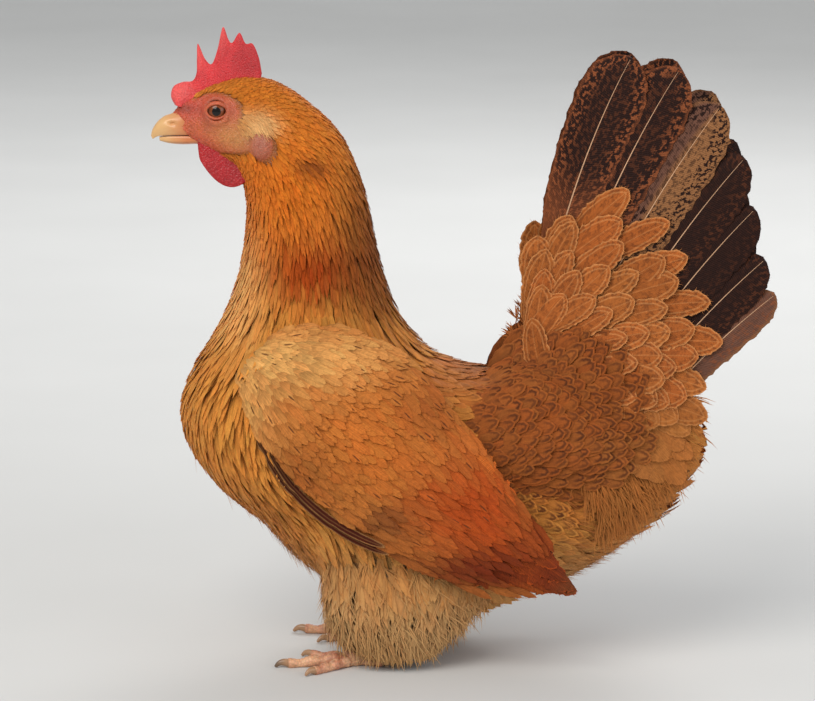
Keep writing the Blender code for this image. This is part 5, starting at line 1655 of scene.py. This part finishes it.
def plumage(name, barb=0.5, contrast=0.10, lace=(0.5, 1.4), laced=0.6, second=0.0, ring=0.0, fleck=None,
            mottle=0.0, shaft=0.0, streak=0.25):
    """Feather finish from the point layers: barbs, streaks, a laced rim, a ring or fleck, mottling, a shaft.

    Lengths are in millimetres on the feather. barb is the spacing of the barbs, lace where the rim's colour
    starts and ends to fade, and second how far inside the rim a second, fainter line of it runs. ring is the
    width of a dark band inside the lace, and fleck the half width, half length and distance from the tip of a
    dark spot. laced, mottle and shaft are strengths, and contrast and streak those of barbs and streaks.
    """
    graph = Graph(name, Roughness=0.66, Sheen_Weight=0.04, Sheen_Roughness=0.45, Specular_IOR_Level=0.14)
    ground, rim_colour = graph.attribute("ground")["Color"], graph.attribute("lace")["Color"]
    mark = graph.attribute("mark")
    across, from_tip, rim = graph.split(graph.attribute("vane")["Vector"])
    strand = graph.attribute("strand")["Vector"]
    row = graph.split(strand)[0]
    grain = graph.noise(graph.scaled(strand, (0.9, 0.35, 1.0)), 1.0, 3.0)
    fine = graph.noise(graph.scaled(strand, (2.6, 0.25, 1.0)), 1.0, 2.0)
    hair = graph.noise(graph.scaled(strand, (0.14, 2.4, 1.0)), 1.0, 2.0)
    colour = ground
    if mottle:
        blotch = graph.noise(graph.scaled(strand, (0.44, 0.52, 1.0)), 1.0, 3.0, 0.6)
        amount = graph.times(graph.step(blotch, 0.49, 0.58), mark["Alpha"])
        edge = graph.math("MAXIMUM", graph.outside(rim, 2.0, 11.0), graph.step(from_tip, 50.0, 90.0))
        edge = graph.times(graph.plus(edge, 0.25), mottle)
        colour = graph.mix(graph.times(amount, edge), colour, mark["Color"])
    if ring:
        inner = graph.plus(rim, graph.centred(grain, 1.4))
        band = graph.times(graph.step(inner, lace[1] - 0.2, lace[1] + 0.5),
                          graph.outside(inner, lace[1] + ring, lace[1] + ring + 1.0))
        band = graph.times(band, graph.outside(from_tip, ring * 4.0, ring * 8.0))
        colour = graph.mix(graph.times(band, mark["Alpha"]), colour, mark["Color"])
    if fleck:
        wide, long, back = fleck
        aside = graph.math("DIVIDE", across, wide)
        onward = graph.math("DIVIDE", graph.math("SUBTRACT", from_tip, back), long)
        far = graph.plus(graph.math("POWER", aside, 2.0), graph.math("POWER", onward, 2.0))
        spot = graph.outside(graph.plus(far, grain), 0.9, 1.6)
        colour = graph.mix(graph.times(spot, mark["Alpha"]), colour, mark["Color"])
    edge = graph.plus(rim, graph.centred(fine, 0.8))
    colour = graph.mix(graph.times(graph.outside(edge, *lace), laced), colour, rim_colour)
    if second:
        away = graph.math("ABSOLUTE", graph.math("SUBTRACT", edge, second))
        line = graph.outside(away, 0.15, 0.6)
        colour = graph.mix(graph.times(line, laced * 0.6), colour, rim_colour)
    if shaft:
        line = graph.outside(graph.math("ABSOLUTE", across), 0.15, 0.42)
        colour = graph.mix(graph.times(line, shaft), colour, rim_colour)
    wave = graph.math("SINE", graph.times(row, TURN / barb))
    tone = graph.math("MULTIPLY_ADD", wave, contrast, 1.0)
    for streaks, strength in ((grain, streak), (fine, streak), (hair, 2 * streak)):
        tone = graph.plus(tone, graph.centred(streaks, strength))
    graph.paint(graph.scale_colour(colour, tone))
    graph.bump(graph.plus(wave, fine), 0.00012, 0.6)
    return graph.material


def down_finish():
    """Loose down: the colour of its layer, with fine streaks and a faint sheen."""
    graph = Graph("loose_down", Roughness=0.8, Sheen_Weight=0.10, Sheen_Roughness=0.5,
                  Specular_IOR_Level=0.12)
    ground = graph.attribute("ground")["Color"]
    grain = graph.noise(graph.scaled(graph.attribute("strand")["Vector"], (0.6, 0.6, 1.0)), 1.0, 2.0)
    graph.paint(graph.scale_colour(ground, graph.math("MULTIPLY_ADD", grain, 0.4, 0.8)))
    graph.bump(grain, 0.0002, 0.5)
    return graph.material


def fleshy(name, scale, bump):
    """Bare skin: small rounded grains over slow changes of colour, with light scattered under its surface."""
    graph = Graph(name, Roughness=0.42, Subsurface_Weight=0.25, Subsurface_Scale=0.002,
                  Subsurface_Radius=(1.0, 0.25, 0.15), Specular_IOR_Level=0.5)
    place = graph.place()
    slow = graph.noise(place, scale * 0.16, 3.0)
    grains = graph.cells(place, scale)
    tone = graph.math("MULTIPLY_ADD", grains, -0.35, 1.12)
    tone = graph.plus(tone, graph.centred(slow, 0.5))
    graph.paint(graph.scale_colour(graph.attribute("ground")["Color"], tone))
    graph.bump(graph.math("SUBTRACT", graph.times(slow, 0.6), grains), bump)
    return graph.material


def horn(part, low, high):
    """Horn that changes colour along X, from its tip at low to its base at high in metres."""
    tip, base = opaque(COLOURS[part + "_tip"]), opaque(COLOURS[part + "_base"])
    graph = Graph(part + "_horn", Roughness=0.34, Specular_IOR_Level=0.5, Coat_Weight=0.15,
                  Coat_Roughness=0.2)
    place = graph.place()
    grain = graph.noise(graph.scaled(place, (220.0, 900.0, 900.0)), 1.0, 3.0)
    share = graph.plus(graph.step(graph.split(place)[0], low, high), graph.centred(grain, 0.4))
    graph.paint(graph.mix(share, tip, base))
    graph.bump(grain, 0.00015, 0.5)
    return graph.material


def layered(name, rough, **settings):
    """A plain finish in the colour of its layer, for what lies under the feathers and for the eyeball."""
    graph = Graph(name, Roughness=rough, **settings)
    graph.paint(graph.attribute("ground")["Color"])
    return graph.material


def quill_finish():
    """Smooth horny quills, paler in places."""
    graph = Graph("quill", Roughness=0.4, Specular_IOR_Level=0.5)
    slow = graph.noise(graph.place(), 90.0, 2.0)
    graph.paint(graph.mix(slow, opaque(COLOURS["quill"]), opaque(COLOURS["quill"] * 0.6)))
    return graph.material


def scaly():
    """Pinkish foot skin: small cells between the scutes, paler on their backs."""
    graph = Graph("foot_scales", Roughness=0.5, Subsurface_Weight=0.12, Subsurface_Scale=0.002)
    place = graph.place()
    grains, slow = graph.cells(place, 900.0), graph.noise(place, 120.0, 3.0)
    pale, deep = opaque(COLOURS["foot_pale"]), opaque(COLOURS["foot_deep"])
    colour = graph.mix(graph.step(slow, 0.35, 0.65), pale, deep)
    graph.paint(graph.scale_colour(colour, graph.math("MULTIPLY_ADD", grains, -0.5, 1.15)))
    graph.bump(grains, 0.0003, 0.6)
    return graph.material


def make_finishes():
    """One material for each finish of the hen."""
    claw_low, claw_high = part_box("claw_middle_left")
    return {
        "body": plumage("body_feather", laced=0.3, contrast=0.06, streak=0.45, shaft=0.15),
        "saddle": plumage(
            "saddle_feather", laced=0.55, lace=(0.3, 0.9), ring=0.9, contrast=0.06, streak=0.35,
        ),
        "wing": plumage("wing_covert_feather", laced=0.1, lace=(0.2, 0.8), fleck=(0.4, 2.6, 3.6),
                        contrast=0.05, streak=0.5),
        "flight": plumage("flight_feather", lace=(0.2, 0.8), shaft=0.2, barb=0.8, contrast=0.14, streak=0.6),
        "tail": plumage("tail_feather", laced=0.5, lace=(0.4, 2.6), mottle=1.0, barb=1.0, streak=0.4),
        "covert": plumage("tail_covert_feather", laced=0.55, lace=(0.2, 1.3), second=2.6, mottle=0.5,
                          shaft=0.2, barb=0.7, streak=0.4),
        "down": down_finish(),
        "bed": layered("under_feathers", 0.9),
        "face": fleshy("face_skin", 1400.0, 0.0003),
        "comb": fleshy("comb_skin", 1500.0, 0.00035),
        "wattle": fleshy("wattle_skin", 1100.0, 0.0003),
        "bill": horn("bill", -0.147, -0.130),
        "claw": horn("claw", claw_low.x, claw_high.x),
        "eye": layered("eyeball", 0.2, Specular_IOR_Level=0.2, Coat_Weight=0.35, Coat_Roughness=0.03),
        "quill": quill_finish(),
        "foot": scaly(),
    }


# Camera: distance, angle above the level, aim, and width of the view at the aim, in metres and degrees.
CAMERA = {"distance": 1.8, "elevation": 12.0, "aim": (-0.0281, 0.0, 0.1493), "view_width": 0.391}


def make_camera():
    """A camera that looks along +Y at the left side, a little down, and frames the photograph's width."""
    lens = bpy.data.cameras.new("camera")
    camera = bpy.data.objects.new("camera", lens)
    bpy.context.scene.collection.objects.link(camera)
    lift = math.radians(CAMERA["elevation"])
    aim, far = CAMERA["aim"], CAMERA["distance"]
    camera.location = (aim[0], -far * math.cos(lift), aim[2] + far * math.sin(lift))
    camera.rotation_euler = (math.pi / 2 - lift, 0.0, 0.0)
    lens.sensor_width = 36.0
    lens.lens = 36.0 * far / CAMERA["view_width"]
    lens.clip_start = 0.05
    bpy.context.scene.camera = camera


def make_light(name, place, aim, size, power, tint=(1.0, 1.0, 1.0)):
    """A flat lamp of a size in metres and a power in watts, turned from its place to its aim."""
    lamp = bpy.data.lights.new(name, "AREA")
    lamp.shape = "RECTANGLE"
    lamp.size, lamp.size_y = size
    lamp.energy = power
    lamp.color = tint
    obj = bpy.data.objects.new(name, lamp)
    bpy.context.scene.collection.objects.link(obj)
    obj.location = place
    away = np.array(place) - np.array(aim)
    flat = math.hypot(away[0], away[1])
    obj.rotation_euler = (math.atan2(flat, away[2]), 0.0, math.atan2(away[1], away[0]) + math.pi / 2)


def make_studio():
    """A pale floor that sweeps up behind, a soft light from above the left front, and three weaker ones."""
    world = bpy.data.worlds.new("studio")
    world.use_nodes = True
    sky = world.node_tree.nodes["Background"]
    sky.inputs["Color"].default_value = (0.86, 0.88, 0.90, 1.0)
    sky.inputs["Strength"].default_value = 0.5
    bpy.context.scene.world = world
    make_light("key", (-0.7, -1.1, 1.3), (0.0, 0.0, 0.14), (1.2, 1.0), 21.0, (1.0, 0.97, 0.92))
    make_light("fill", (1.2, -0.8, 0.6), (0.0, 0.0, 0.14), (1.2, 1.0), 7.0, (0.95, 0.97, 1.0))
    make_light("rim", (0.4, 1.2, 1.2), (0.0, 0.0, 0.16), (1.0, 0.8), 12.0)
    make_light("backdrop", (0.0, 1.0, 1.8), (0.0, 3.6, 0.3), (2.4, 0.8), 20.0)
    turn = np.linspace(0, math.pi / 2, 24)
    y = np.concatenate(((-5.0,), 2.5 + 2.0 * np.sin(turn), (4.5,)))
    z = np.concatenate(((0.0,), 2.0 - 2.0 * np.cos(turn), (6.0,)))
    mesh = bpy.data.meshes.new("floor")
    corners = [(side * 6.0, *row) for row in zip(y, z) for side in (-1, 1)]
    quads = [(2 * i, 2 * i + 1, 2 * i + 3, 2 * i + 2) for i in range(len(y) - 1)]
    mesh.from_pydata(corners, [], quads)
    mesh.shade_smooth()
    floor = bpy.data.objects.new("floor", mesh)
    bpy.context.scene.collection.objects.link(floor)
    graph = Graph("floor_paint", Roughness=0.85)
    speck = graph.noise(graph.place(), 6.0, 2.0)
    graph.paint(graph.mix(speck, (0.60, 0.60, 0.59, 1.0), (0.66, 0.66, 0.65, 1.0)))
    mesh.materials.append(graph.material)
    bpy.context.scene.view_settings.view_transform = "Standard"


def main():
    """Makes the camera, the studio and the hen's pieces, with random draws from one seeded source."""
    make_camera()
    make_studio()
    finishes = make_finishes()
    rng = np.random.default_rng(7)
    make_skin(finishes["face"])
    make_body_coat(finishes, rng)
    make_down(finishes, rng)
    make_bristles(finishes["down"], rng)
    wing_relief = Relief((-130.0, 10.0), (80.0, 200.0), wing_half)
    tail_relief = Relief((-10.0, 60.0), (180.0, 320.0), tail_half)
    make_comb(finishes["comb"])
    make_bill("bill_upper_horn", BILL_TOP, -1, finishes["bill"])
    make_bill("bill_lower_horn", BILL_LOW, 1, finishes["bill"])
    for label, side in SIDES.items():
        make_wing(label, side, wing_relief, finishes, rng)
        make_tail(label, side, tail_relief, finishes, rng)
        make_wattle(label, side, finishes["wattle"])
        make_eye(label, side, finishes)
        make_thigh_coat(label, side, finishes, rng)
        make_foot(label, side, finishes)


main()
